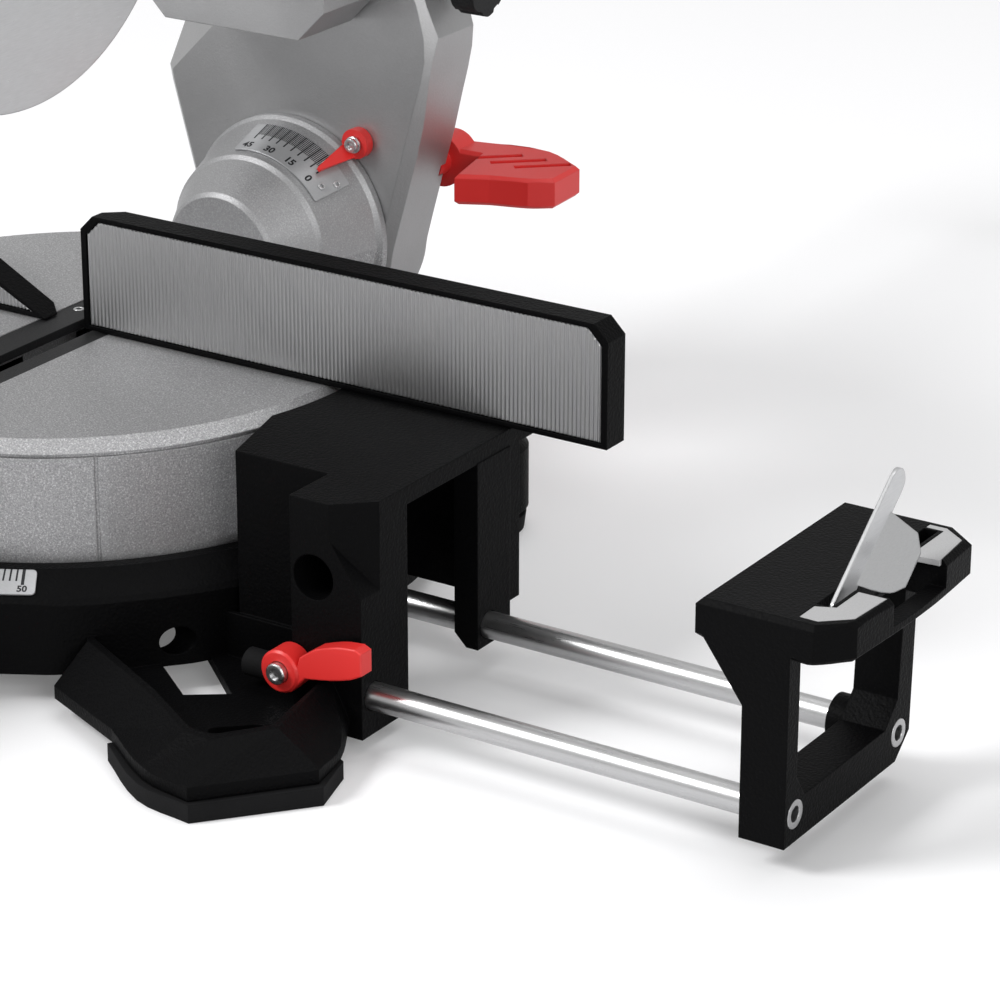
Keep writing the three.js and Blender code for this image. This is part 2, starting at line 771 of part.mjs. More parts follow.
const soles = [
  ...SIDES.map(({ name, side }) =>
    meshOf(
      "foot_sole_front_" + name,
      sided(cut(prism("z", footOutline(padShares, SOLE_MARGIN), 0, SOLE_THICK), slotTool()), side),
      BLACK_RUBBER,
    ),
  ),
  ...SIDES.map(({ name, side }) =>
    meshOf(
      "foot_sole_rear_" + name,
      sided(
        turned(
          "z",
          [
            [0, 0],
            [REAR_FOOT_RADIUS - SOLE_MARGIN, 0],
            [REAR_FOOT_RADIUS - SOLE_MARGIN / 2, SOLE_THICK],
            [0, SOLE_THICK],
          ],
          REAR_FOOT_X,
          REAR_FOOT_Y,
          SMALL_ROUND,
        ),
        side,
      ),
      BLACK_RUBBER,
    ),
  ),
];

// Mitre scale: a thin plate bent round the sloping rim.
function mitreScale() {
  const slope = (share) => [
    LIP_OUTER + (CONE_OUTER - LIP_OUTER) * share,
    LIP_TOP - PAN_CONE_DROP * share,
  ];
  const [r0, z0] = slope(0.1);
  const [r1, z1] = slope(0.92);
  const ring = turned(
    "z",
    [
      [r0, z0 + SEAT],
      [r1, z1 + SEAT],
      [r1, z1 + SEAT + PLATE_THICK],
      [r0, z0 + SEAT + PLATE_THICK],
      [r0, z0 + SEAT],
    ],
    0,
    0,
    BIG_ROUND,
  );
  const from = -90 + MITRE_SCALE_ZERO - MITRE_SCALE_SPAN;
  const to = -90 + MITRE_SCALE_ZERO + MITRE_SCALE_SPAN;
  const sector = prism(
    "z",
    [pt(0, 0), ...arc(0, 0, 2 * PAN_RADIUS, from, to, 8)],
    0,
    TABLE_TOP,
  );
  return ring.intersect(sector);
}

// Fence halves. The left half leans away from the blade, which tilts to the left.
const FENCE_BOTTOM = TABLE_TOP + FENCE_LIFT;
const fenceTop = (side) => TABLE_TOP + (side > 0 ? FENCE_RISE : FENCE_RISE_LEFT);

function fenceOutline(side) {
  const near = side > 0 ? FENCE_GAP_RIGHT : FENCE_GAP_LEFT;
  const nearTop = side > 0 ? FENCE_GAP_RIGHT : FENCE_GAP_LEFT + FENCE_LEAN;
  const top = fenceTop(side);
  return [
    pt(near, FENCE_BOTTOM),
    pt(FENCE_RIGHT_END, FENCE_BOTTOM),
    pt(FENCE_RIGHT_END, top - FENCE_NICK),
    pt(FENCE_RIGHT_END - FENCE_NICK, top),
    pt(nearTop + (side > 0 ? FENCE_NICK : 0), top),
    pt(nearTop, side > 0 ? top - FENCE_NICK : top - SEAT),
  ];
}

// The ribbed plate's outline: the fence outline drawn in by the black border.
function faceOutline(side, play) {
  const near = side > 0 ? FENCE_GAP_RIGHT : FENCE_GAP_LEFT;
  const lean = side > 0 ? 0 : FENCE_LEAN;
  const top = fenceTop(side) - FENCE_BORDER_TOP - play;
  const low = FENCE_BOTTOM + FENCE_BORDER_TOP + play;
  const end = FENCE_RIGHT_END - FENCE_BORDER_END - play;
  const shift = lean * ((low - FENCE_BOTTOM) / FENCE_RISE_LEFT);
  const start = near + FENCE_BORDER_END + play;
  return [
    pt(start + shift, low),
    pt(end, low),
    pt(end, top - FENCE_NICK),
    pt(end - FENCE_NICK, top),
    pt(start + lean + (side > 0 ? FENCE_NICK : FENCE_BORDER_END), top),
    pt(start + lean, side > 0 ? top - FENCE_NICK : top - FENCE_BORDER_TOP),
  ];
}

function fenceCasting(side) {
  const plate = prism("y", fenceOutline(side), 0, FENCE_THICK);
  const start = TURN_RADIUS + TRACK_GAP;
  const flange = box(
    start,
    END_X,
    FENCE_THICK / 2,
    FENCE_THICK + FENCE_FLANGE,
    FENCE_BOTTOM,
    FENCE_BOTTOM + FENCE_FLANGE_THICK,
  );
  const webs = Array.from({ length: WEB_COUNT }, (_, i) => {
    const x = start + ((END_X - start - WEB_THICK) * i) / (WEB_COUNT - 1);
    return prism(
      "x",
      [
        pt(FENCE_THICK / 2, FENCE_BOTTOM),
        pt(FENCE_THICK + FENCE_FLANGE, FENCE_BOTTOM),
        pt(FENCE_THICK + FENCE_FLANGE, FENCE_BOTTOM + FENCE_FLANGE_THICK),
        pt(FENCE_THICK / 2, FENCE_BOTTOM + FENCE_FLANGE_THICK + WEB_HEIGHT),
      ],
      x,
      x + WEB_THICK,
    );
  });
  const recess = prism("y", faceOutline(side, 0), -OVERRUN, FENCE_RECESS);
  const across = FENCE_THICK * Math.tan(turn(MITRE_MOST));
  const sweep = prism(
    "z",
    [
      pt(0, 0),
      pt(FENCE_BLADE_GAP, 0),
      pt(FENCE_BLADE_GAP + across, FENCE_THICK),
      pt(0, FENCE_THICK + OVERRUN),
    ],
    TABLE_TOP,
    fenceTop(side) + OVERRUN,
  );
  return cut(join(plate, flange, ...webs), recess, sweep);
}

// Ribbed face plate: a saw-tooth section pushed upwards and trimmed to the outline.
function fenceFace(side) {
  const back = FENCE_RECESS - SEAT;
  const count = Math.floor(FENCE_RIGHT_END / RIB_PITCH);
  const teeth = Array.from({ length: count * 2 + 1 }, (_, i) =>
    pt((i * RIB_PITCH) / 2, i % 2 ? 0 : RIB_DEPTH),
  );
  const section = [...teeth, pt(count * RIB_PITCH, back), pt(0, back)];
  const ribs = prism("z", section, TABLE_TOP, fenceTop(side));
  return ribs.intersect(prism("y", faceOutline(side, SEAT), -OVERRUN, FENCE_THICK));
}

// Turntable: a turned shell with the mitre arm in front and the tilt drum behind.
function turntableShell() {
  const bandStart = TABLE_TOP - TURN_BAND_DROP;
  const groove = bandStart - TURN_GROOVE;
  const inner = TURN_RADIUS - TURN_WALL;
  return turned(
    "z",
    [
      [PIVOT_RADIUS + SEAT, TURN_BOTTOM],
      [HUB_RADIUS, TURN_BOTTOM],
      [HUB_RADIUS, TABLE_TOP - TURN_PLATE],
      [inner - TURN_WALL / 2, TABLE_TOP - TURN_PLATE],
      [inner, TABLE_TOP - TURN_PLATE - TURN_WALL / 2],
      [inner, TURN_BOTTOM],
      [TURN_RADIUS, TURN_BOTTOM],
      [TURN_RADIUS, groove],
      [TURN_RADIUS - TURN_GROOVE, groove],
      [TURN_RADIUS - TURN_GROOVE, bandStart],
      [TURN_RADIUS, bandStart],
      [TURN_RADIUS - TURN_BAND, TABLE_TOP],
      [PIVOT_RADIUS + SEAT, TABLE_TOP],
      [PIVOT_RADIUS + SEAT, TURN_BOTTOM],
    ],
    0,
    0,
    BIG_ROUND,
  );
}

function mitreArm() {
  const half = [
    pt(ARM_ROOT_HALF, -ARM_ROOT_Y),
    pt(ARM_NECK_HALF, -ARM_NECK_Y),
    pt(ARM_END_HALF, -ARM_END_Y),
  ];
  const outline = [...half, ...half.toReversed().map((p) => pt(-p.x, p.y))];
  const body = prism("z", outline, ARM_BOTTOM, TABLE_TOP);
  const slim = (p) => Math.sign(p.x) * (Math.abs(p.x) - ARM_WALL);
  const inside = outline.map((p) =>
    pt(slim(p), p.y + (p.y < -ARM_NECK_Y ? ARM_WALL : -ARM_WALL)),
  );
  return cut(body, prism("z", inside, ARM_BOTTOM - OVERRUN, KERF_FLOOR - ARM_WALL));
}

function tiltDrum() {
  const edge = DRUM_EDGE_RADIUS;
  const lip = DRUM_LIP_RADIUS;
  return turned(
    "y",
    [
      [0, DRUM_FRONT],
      [DRUM_CAP_RADIUS - PAN_EDGE, DRUM_FRONT],
      [DRUM_CAP_RADIUS, DRUM_FRONT + PAN_EDGE],
      [edge - PAN_EDGE, DRUM_EDGE_Y - PAN_EDGE],
      [edge, DRUM_EDGE_Y],
      [lip - PAN_EDGE, DRUM_REAR - DRUM_LIP_WIDTH],
      [lip, DRUM_REAR - DRUM_LIP_WIDTH + PAN_EDGE],
      [lip, DRUM_REAR - SEAT],
      [0, DRUM_REAR - SEAT],
    ],
    0,
    AXIS_Z,
    MID_ROUND,
  );
}

function turntableCasting() {
  const cradle = bar("y", HUB_RADIUS, TURN_RADIUS - 3 * TURN_WALL, DRUM_REAR - OVERRUN, 0, AXIS_Z - HUB_RADIUS);
  const body = join(turntableShell(), mitreArm(), tiltDrum(), cradle);
  const kerf = box(-KERF_LEFT, KERF_RIGHT, -KERF_FRONT, KERF_REAR, KERF_FLOOR, TABLE_TOP + OVERRUN);
  const ledge = box(
    -KERF_LEFT - INSERT_LEDGE,
    KERF_RIGHT + INSERT_LEDGE,
    -KERF_FRONT - INSERT_LEDGE / 2,
    KERF_REAR + INSERT_LEDGE / 2,
    TABLE_TOP - INSERT_THICK - 2 * SEAT,
    TABLE_TOP + OVERRUN,
  );
  const seams = SEAM_ANGLES.flatMap((a) => [a, -a]).map((a) =>
    spun(
      box(
        -SEAM_WIDTH / 2,
        SEAM_WIDTH / 2,
        -TURN_RADIUS - OVERRUN,
        SEAM_DEPTH - TURN_RADIUS,
        TURN_BOTTOM - OVERRUN,
        TABLE_TOP - TURN_BAND_DROP - TURN_GROOVE / 2,
      ),
      Z_AXIS,
      a,
    ),
  );
  const boltBore = bar(
    "y",
    TILT_BOLT_RADIUS + SEAT,
    DRUM_EDGE_Y,
    DRUM_REAR + OVERRUN,
    0,
    AXIS_Z,
  );
  const knobBore = bar(
    "y",
    KNOB_SHAFT + SEAT,
    -ARM_END_Y - OVERRUN,
    ARM_WALL + OVERRUN - ARM_END_Y,
    0,
    KNOB_Z,
  );
  return cut(body, kerf, ledge, ...seams, boltBore, knobBore);
}

function kerfInsert() {
  const edge = INSERT_LEDGE - SEAT;
  const x0 = -KERF_LEFT - edge;
  const x1 = KERF_RIGHT + edge;
  const y0 = -KERF_FRONT - INSERT_LEDGE / 2 + SEAT;
  const y1 = KERF_REAR + INSERT_LEDGE / 2 - SEAT;
  const low = TABLE_TOP - INSERT_THICK - SEAT;
  const plate = box(x0, x1, y0, y1, low, TABLE_TOP - SEAT);
  const slit = box(
    -SLIT_LEFT,
    SLIT_RIGHT,
    SLIT_MARGIN - KERF_FRONT,
    KERF_REAR - SLIT_MARGIN,
    low - OVERRUN,
    TABLE_TOP + OVERRUN,
  );
  return cut(plate, slit);
}

// Pointer for the mitre scale: a small wedge under the arm's root.
function mitrePointer() {
  const z0 = LIP_TOP + PLATE_THICK + 2 * SEAT;
  const r0 = TURN_RADIUS + SEAT;
  const wedge = prism(
    "z",
    [
      pt(-POINTER_WIDTH / 2, -r0),
      pt(-POINTER_WIDTH / 2, -r0 - POINTER_REACH / 2),
      pt(0, -r0 - POINTER_REACH),
      pt(POINTER_WIDTH / 2, -r0 - POINTER_REACH / 2),
      pt(POINTER_WIDTH / 2, -r0),
    ],
    z0,
    z0 + POINTER_THICK,
  );
  return spun(wedge, Z_AXIS, MITRE_SCALE_ZERO);
}

// Bevel scale: a plate on the widening band of the drum, between two angles.
function bevelScale() {
  const run = DRUM_REAR - DRUM_LIP_WIDTH - DRUM_EDGE_Y;
  const widen = DRUM_LIP_RADIUS - PAN_EDGE - DRUM_EDGE_RADIUS;
  const at = (share, lift) => [DRUM_EDGE_RADIUS + widen * share + lift, DRUM_EDGE_Y + run * share];
  const ring = turned(
    "y",
    [
      at(BEVEL_SCALE_START, SEAT),
      at(BEVEL_SCALE_START, SEAT + PLATE_THICK),
      at(BEVEL_SCALE_END, SEAT + PLATE_THICK),
      at(BEVEL_SCALE_END, SEAT),
      at(BEVEL_SCALE_START, SEAT),
    ],
    0,
    AXIS_Z,
    BIG_ROUND,
  );
  const sector = prism(
    "y",
    [pt(0, AXIS_Z), ...arc(0, AXIS_Z, 2 * DRUM_LIP_RADIUS, BEVEL_SCALE_FROM, BEVEL_SCALE_TO, 8)],
    DRUM_FRONT,
    DRUM_REAR,
  );
  return ring.intersect(sector);
}

// Mitre lock: a fluted knob on a threaded shaft, and the detent lever under it.
function mitreLockKnob() {
  const face = -ARM_END_Y - SEAT;
  const end = face - KNOB_COLLAR - KNOB_LENGTH;
  const grip = turned(
    "y",
    [
      [0, end],
      [KNOB_RADIUS * 0.7, end],
      [KNOB_RADIUS, end + KNOB_RADIUS * 0.35],
      [KNOB_RADIUS, end + KNOB_LENGTH * 0.6],
      [KNOB_RADIUS * 0.55, face - KNOB_COLLAR],
      [KNOB_RADIUS * 0.55, face],
      [KNOB_SHAFT, face],
      [KNOB_SHAFT, ARM_WALL + OVERRUN - ARM_END_Y],
      [0, ARM_WALL + OVERRUN - ARM_END_Y],
    ],
    0,
    KNOB_Z,
    MID_ROUND,
  );
  const flutes = Array.from({ length: KNOB_FLUTES }, (_, i) => {
    const a = (2 * Math.PI * i) / KNOB_FLUTES;
    const reach = KNOB_RADIUS * 1.2;
    return bar(
      "y",
      KNOB_RADIUS * 0.32,
      end - OVERRUN,
      end + KNOB_LENGTH * 0.62,
      reach * Math.cos(a),
      KNOB_Z + reach * Math.sin(a),
      TINY_ROUND,
    );
  });
  return cut(grip, ...flutes);
}

const DETENT_Y = -ARM_END_Y + ARM_WALL + DETENT_PIN_RADIUS * 2;
const DETENT_Z = ARM_BOTTOM - DETENT_PIN_RADIUS - SEAT;

function detentLever() {
  const reach = ARM_END_HALF - PAN_EDGE;
  const hub = bar("x", DETENT_PIN_RADIUS, -reach, reach, DETENT_Y, DETENT_Z, SMALL_ROUND);
  const blade = prism(
    "x",
    [
      pt(DETENT_Y, DETENT_Z - DETENT_THICK / 2),
      pt(DETENT_Y, DETENT_Z + DETENT_THICK / 2),
      pt(DETENT_Y - DETENT_LENGTH * 0.7, DETENT_Z - DETENT_THICK * 0.8),
      pt(DETENT_Y - DETENT_LENGTH, DETENT_Z - DETENT_THICK * 2),
      pt(DETENT_Y - DETENT_LENGTH, DETENT_Z - DETENT_THICK * 3),
      pt(DETENT_Y - DETENT_LENGTH * 0.66, DETENT_Z - DETENT_THICK * 1.8),
    ],
    -DETENT_WIDTH / 2,
    DETENT_WIDTH / 2,
  );
  return join(hub, blade);
}

// The left fence and table edge as the arm meets them at full mitre, at a share of the full tilt.
function fenceSpace(share) {
  const space = box(
    -FENCE_RIGHT_END,
    0,
    -OVERRUN,
    WING_REAR + 2 * SEAT,
    TABLE_TOP - WING_PLATE,
    fenceTop(-1) + 2 * SEAT,
  );
  const turnedBack = spun(space, Z_AXIS, -MITRE_MOST);
  return spun(turnedBack, Y_AXIS, TILT_MOST * share, new THREE.Vector3(0, 0, AXIS_Z));
}

// Tilting arm: round about the tilt axis, widening to shoulders, then drawn in over the rails.
function tiltArm() {
  const rear = TILT_FRONT + TILT_DEPTH;
  const outline = [
    ...arc(0, AXIS_Z, DRUM_LIP_RADIUS, 185, 355, 16),
    pt(TILT_WAIST, TILT_WAIST_Z),
    pt(TILT_SHOULDER, TILT_SHOULDER_Z),
    pt(TILT_CROWN, TILT_TOP),
    pt(-TILT_CROWN, TILT_TOP),
    pt(-TILT_SHOULDER, TILT_SHOULDER_Z),
    pt(-TILT_WAIST, TILT_WAIST_Z),
  ];
  const body = prism("y", outline, TILT_FRONT, rear, [], TILT_CHAMFER);
  const rails = [RAIL_X, -RAIL_X].map((x) =>
    bar("y", RAIL_RADIUS + RAIL_PLAY, TILT_FRONT - OVERRUN, rear + OVERRUN, x, RAIL_Z, MID_ROUND),
  );
  const bolt = bar(
    "y",
    TILT_BOLT_RADIUS + SEAT,
    TILT_FRONT - OVERRUN,
    rear + OVERRUN,
    0,
    AXIS_Z,
  );
  const slim = TILT_WAIST - 3 * TILT_POCKET;
  const pocket = prism(
    "y",
    [
      pt(0, AXIS_Z + DRUM_LIP_RADIUS / 2),
      pt(slim, TILT_WAIST_Z),
      pt(slim, RAIL_Z - RAIL_RADIUS - TILT_POCKET),
      pt(-slim, RAIL_Z - RAIL_RADIUS - TILT_POCKET),
      pt(-slim, TILT_WAIST_Z),
    ],
    rear - TILT_DEPTH + TILT_POCKET,
    rear + OVERRUN,
  );
  const lever = bar(
    "y",
    LEVER_HUB_RADIUS / 2 + SEAT,
    rear - TILT_POCKET,
    rear + OVERRUN,
    LEVER_PIVOT_X,
    LEVER_PIVOT_Z,
  );
  const lock = bar(
    "x",
    SLIDE_SCREW_RADIUS + SEAT,
    RAIL_X + RAIL_RADIUS / 2,
    TILT_SHOULDER + OVERRUN,
    TILT_FRONT + TILT_DEPTH / 2,
    RAIL_Z,
    SMALL_ROUND,
  );
  return cut(body, ...rails, bolt, pocket, lever, lock, ...RELIEF_SHARES.map(fenceSpace));
}

// Needle that reads the bevel scale, on the arm's front face.
function bevelPointer() {
  const front = TILT_FRONT - SEAT;
  const radius = DRUM_LIP_RADIUS + NEEDLE_HUB + 1.5 * SEAT;
  const x = radius * Math.cos(turn(NEEDLE_ANGLE));
  const z = AXIS_Z + radius * Math.sin(turn(NEEDLE_ANGLE));
  const hub = bar("y", NEEDLE_HUB, front - NEEDLE_THICK, front, x, z, SMALL_ROUND);
  const inward = pt(-Math.cos(turn(NEEDLE_ANGLE)), -Math.sin(turn(NEEDLE_ANGLE)));
  const across = pt(-inward.y, inward.x);
  const spot = (along, side, y) =>
    new THREE.Vector3(
      x + inward.x * along + across.x * side,
      z + inward.y * along + across.y * side,
      -y,
    );
  const ring = (y, near, far, half) => [
    spot(near, half, y),
    spot(near, -half, y),
    spot(far, -half * 0.8, y),
    spot(far, half * 0.8, y),
  ];
  const edge = NEEDLE_HUB - SEAT;
  const tip = loft([
    ring(front, 0, edge, NEEDLE_HUB * 0.7),
    ring(front - NEEDLE_THICK, NEEDLE_SCREW_RADIUS + 2 * SEAT, edge, NEEDLE_HUB * 0.6),
    ring(front - NEEDLE_LENGTH, NEEDLE_HUB * 1.4, NEEDLE_HUB * 1.7, NEEDLE_HUB * 0.16),
  ]);
  const upright = new THREE.Matrix4().makeRotationX(Math.PI / 2);
  return { body: join(hub, moved(tip, upright)), x, z, front: front - NEEDLE_THICK };
}

function needleScrew(needle) {
  const face = needle.front - SEAT;
  return cut(
    turned(
      "y",
      [
        [0, face - NEEDLE_SCREW_RADIUS * 0.6],
        [NEEDLE_SCREW_RADIUS * 0.6, face - NEEDLE_SCREW_RADIUS * 0.6],
        [NEEDLE_SCREW_RADIUS, face - NEEDLE_SCREW_RADIUS * 0.3],
        [NEEDLE_SCREW_RADIUS, face],
        [0, face],
      ],
      needle.x,
      needle.z,
      SMALL_ROUND,
    ),
  );
}

// Bevel lock lever: a hub behind the arm and a flat paddle with three slanting grooves.
function bevelLockLever() {
  const rear = TILT_FRONT + TILT_DEPTH;
  const top = LEVER_PIVOT_Z + LEVER_THICK / 2;
  const hub = turned(
    "y",
    [
      [0, rear - TILT_POCKET + SEAT],
      [LEVER_HUB_RADIUS / 2, rear - TILT_POCKET + SEAT],
      [LEVER_HUB_RADIUS / 2, rear + SEAT],
      [LEVER_HUB_RADIUS, rear + SEAT],
      [LEVER_HUB_RADIUS, rear + LEVER_THICK],
      [LEVER_HUB_RADIUS * 0.8, rear + LEVER_THICK + PAN_EDGE],
      [0, rear + LEVER_THICK + PAN_EDGE],
    ],
    LEVER_PIVOT_X,
    LEVER_PIVOT_Z,
    MID_ROUND,
  );
  const paddleShares = [
    [0.02, 0],
    [0.3, 0],
    [0.42, -0.78],
    [0.62, -0.62],
    [0.86, -0.5],
    [1, -0.34],
    [0.98, 0.2],
    [0.66, 0.5],
    [0.02, 0.36],
  ];
  const outline = placed(paddleShares, LEVER_PIVOT_X, rear + SEAT, LEVER_REACH, LEVER_DEPTH);
  const paddle = prism("z", outline, top - LEVER_THICK, top, [], LEVER_GROOVE * 0.8);
  const grooves = [0.3, 0.48, 0.66].map((share) =>
    spun(
      box(
        -LEVER_REACH * 0.03,
        LEVER_REACH * 0.03,
        -LEVER_DEPTH * 0.3,
        LEVER_DEPTH * 0.3,
        top - LEVER_GROOVE,
        top + OVERRUN,
      ),
      Z_AXIS,
      -48,
    ).translate([LEVER_PIVOT_X + LEVER_REACH * (share + 0.12), rear, 0]),
  );
  return join(hub, cut(paddle, ...grooves));
}

// Slide: two rails that run through the arm, tied by a cap behind and the pivot block in front.
function slideRail(side) {
  return bar("y", RAIL_RADIUS, RAIL_FRONT, RAIL_REAR, side * RAIL_X, RAIL_Z, MID_ROUND);
}

function railSockets(from, to) {
  return [RAIL_X, -RAIL_X].map((x) => bar("y", RAIL_RADIUS + SEAT, from, to, x, RAIL_Z, MID_ROUND));
}

function railEndCap() {
  const half = RAIL_X + RAIL_RADIUS + CAP_MARGIN;
  const tall = RAIL_RADIUS + CAP_MARGIN;
  const outline = [
    ...arc(half - tall, RAIL_Z, tall, -90, 90, 8),
    ...arc(tall - half, RAIL_Z, tall, 90, 270, 8),
  ];
  const front = RAIL_REAR - CAP_DEPTH / 2;
  const body = prism("y", outline, front, front + CAP_DEPTH, [], PAN_EDGE);
  return cut(body, ...railSockets(front - OVERRUN, RAIL_REAR + SEAT));
}

function headBlock() {
  const body = prism(
    "y",
    [
      pt(-BLOCK_HALF, BLOCK_BOTTOM + BLOCK_CHAMFER),
      pt(BLOCK_CHAMFER - BLOCK_HALF, BLOCK_BOTTOM),
      pt(BLOCK_HALF - BLOCK_CHAMFER, BLOCK_BOTTOM),
      pt(BLOCK_HALF, BLOCK_BOTTOM + BLOCK_CHAMFER),
      pt(BLOCK_HALF, BLOCK_TOP - CAP_MARGIN),
      pt(BLOCK_HALF - CAP_MARGIN, BLOCK_TOP),
      pt(CAP_MARGIN - BLOCK_HALF, BLOCK_TOP),
      pt(-BLOCK_HALF, BLOCK_TOP - CAP_MARGIN),
    ],
    BLOCK_FRONT,
    BLOCK_REAR,
  );
  const ears = [1, -1].map((side) => {
    const outline = [
      pt(BLOCK_FRONT + PAN_EDGE, BLOCK_TOP - CAP_MARGIN),
      pt(BLOCK_REAR - PAN_EDGE, BLOCK_TOP - CAP_MARGIN),
      ...arc(PIN_Y, PIN_Z, LUG_RADIUS, -20, 140, 9),
      ...arc(TRANSPORT_Y, TRANSPORT_Z, TRANSPORT_BOSS, 140, 280, 6),
    ];
    const [a, b] = side > 0 ? [EAR_INNER, EAR_OUTER] : [-EAR_OUTER, -EAR_INNER];
    return prism("x", outline, a, b);
  });
  const pin = bar("x", PIN_RADIUS + SEAT, -BLOCK_HALF, BLOCK_HALF, PIN_Y, PIN_Z);
  const latch = bar(
    "x",
    TRANSPORT_RADIUS + SEAT,
    EAR_INNER - OVERRUN,
    EAR_OUTER + OVERRUN,
    TRANSPORT_Y,
    TRANSPORT_Z,
    SMALL_ROUND,
  );
  const space = bar("x", LUG_RADIUS + 2 * SEAT, -EAR_INNER, EAR_INNER, PIN_Y, PIN_Z, MID_ROUND);
  const down = [linkFoot(), polar(PIN_Y, PIN_Z, LUG_RADIUS, LINK_FROM)].map((p) =>
    p.rotateAround(pt(PIN_Y, PIN_Z), turn(CHOP_ANGLE)).sub(pt(0, LINK_GAP)),
  );
  const chopped = prism("x", [...down, pt(PIN_Y, PIN_Z), pt(down[0].x, PIN_Z)], -EAR_INNER, EAR_INNER);
  const sockets = railSockets(RAIL_FRONT - SEAT, BLOCK_REAR + OVERRUN);
  return cut(join(body, ...ears), pin, latch, space, chopped, ...sockets);
}

const TRANSPORT_Y = PIN_Y - TRANSPORT_AHEAD;
const TRANSPORT_Z = PIN_Z - TRANSPORT_BELOW;

// Pin that holds the head down for carrying, drawn as pulled out.
function transportPin() {
  const out = EAR_OUTER + SEAT + TRANSPORT_TRAVEL;
  const inner = EAR_INNER + TRANSPORT_RADIUS / 2;
  return turned(
    "x",
    [
      [0, inner],
      [TRANSPORT_RADIUS, inner],
      [TRANSPORT_RADIUS, out],
      [TRANSPORT_RADIUS * 1.7, out],
      [TRANSPORT_RADIUS * 1.7, out + TRANSPORT_KNOB / 2],
      [TRANSPORT_RADIUS * 1.4, out + TRANSPORT_KNOB],
      [0, out + TRANSPORT_KNOB],
    ],
    TRANSPORT_Y,
    TRANSPORT_Z,
    SMALL_ROUND,
  );
}

function slideLockKnob() {
  const near = TILT_SHOULDER + SEAT;
  const y = TILT_FRONT + TILT_DEPTH / 2;
  const body = turned(
    "x",
    [
      [0, RAIL_X + RAIL_RADIUS + SEAT + RAIL_PLAY],
      [SLIDE_SCREW_RADIUS, RAIL_X + RAIL_RADIUS + SEAT + RAIL_PLAY],
      [SLIDE_SCREW_RADIUS, near],
      [SLIDE_KNOB_RADIUS * 0.6, near],
      [SLIDE_KNOB_RADIUS, near + SLIDE_KNOB_LENGTH * 0.3],
      [SLIDE_KNOB_RADIUS, near + SLIDE_KNOB_LENGTH],
      [0, near + SLIDE_KNOB_LENGTH],
    ],
    y,
    RAIL_Z,
    SMALL_ROUND,
  );
  const flutes = Array.from({ length: KNOB_FLUTES }, (_, i) => {
    const a = (2 * Math.PI * i) / KNOB_FLUTES;
    const reach = SLIDE_KNOB_RADIUS * 1.15;
    return bar(
      "x",
      SLIDE_KNOB_RADIUS * 0.3,
      near + SEAT,
      near + SLIDE_KNOB_LENGTH + OVERRUN,
      y + reach * Math.cos(a),
      RAIL_Z + reach * Math.sin(a),
      TINY_ROUND,
    );
  });
  return cut(body, ...flutes);
}

// Head: the upper guard with its gear case and the arm to the pivot pin.
const headDisc = (radius, from, to, steps = BIG_ROUND) =>
  bar("x", radius, from, to, BLADE_Y, BLADE_Z, steps);
const sector = (radius, from, to, x0, x1) =>
  prism(
    "x",
    [pt(BLADE_Y, BLADE_Z), ...arc(BLADE_Y, BLADE_Z, radius, from, to, MID_ROUND)],
    x0,
    x1,
  );

// Where the link's underside meets the shell, and where it meets the pivot lug, in degrees.
const linkFoot = () => pt(BLADE_Y + SHELL_RADIUS * 0.55, BLADE_Z - SHELL_RADIUS * 0.3);
const LINK_FROM = -100;

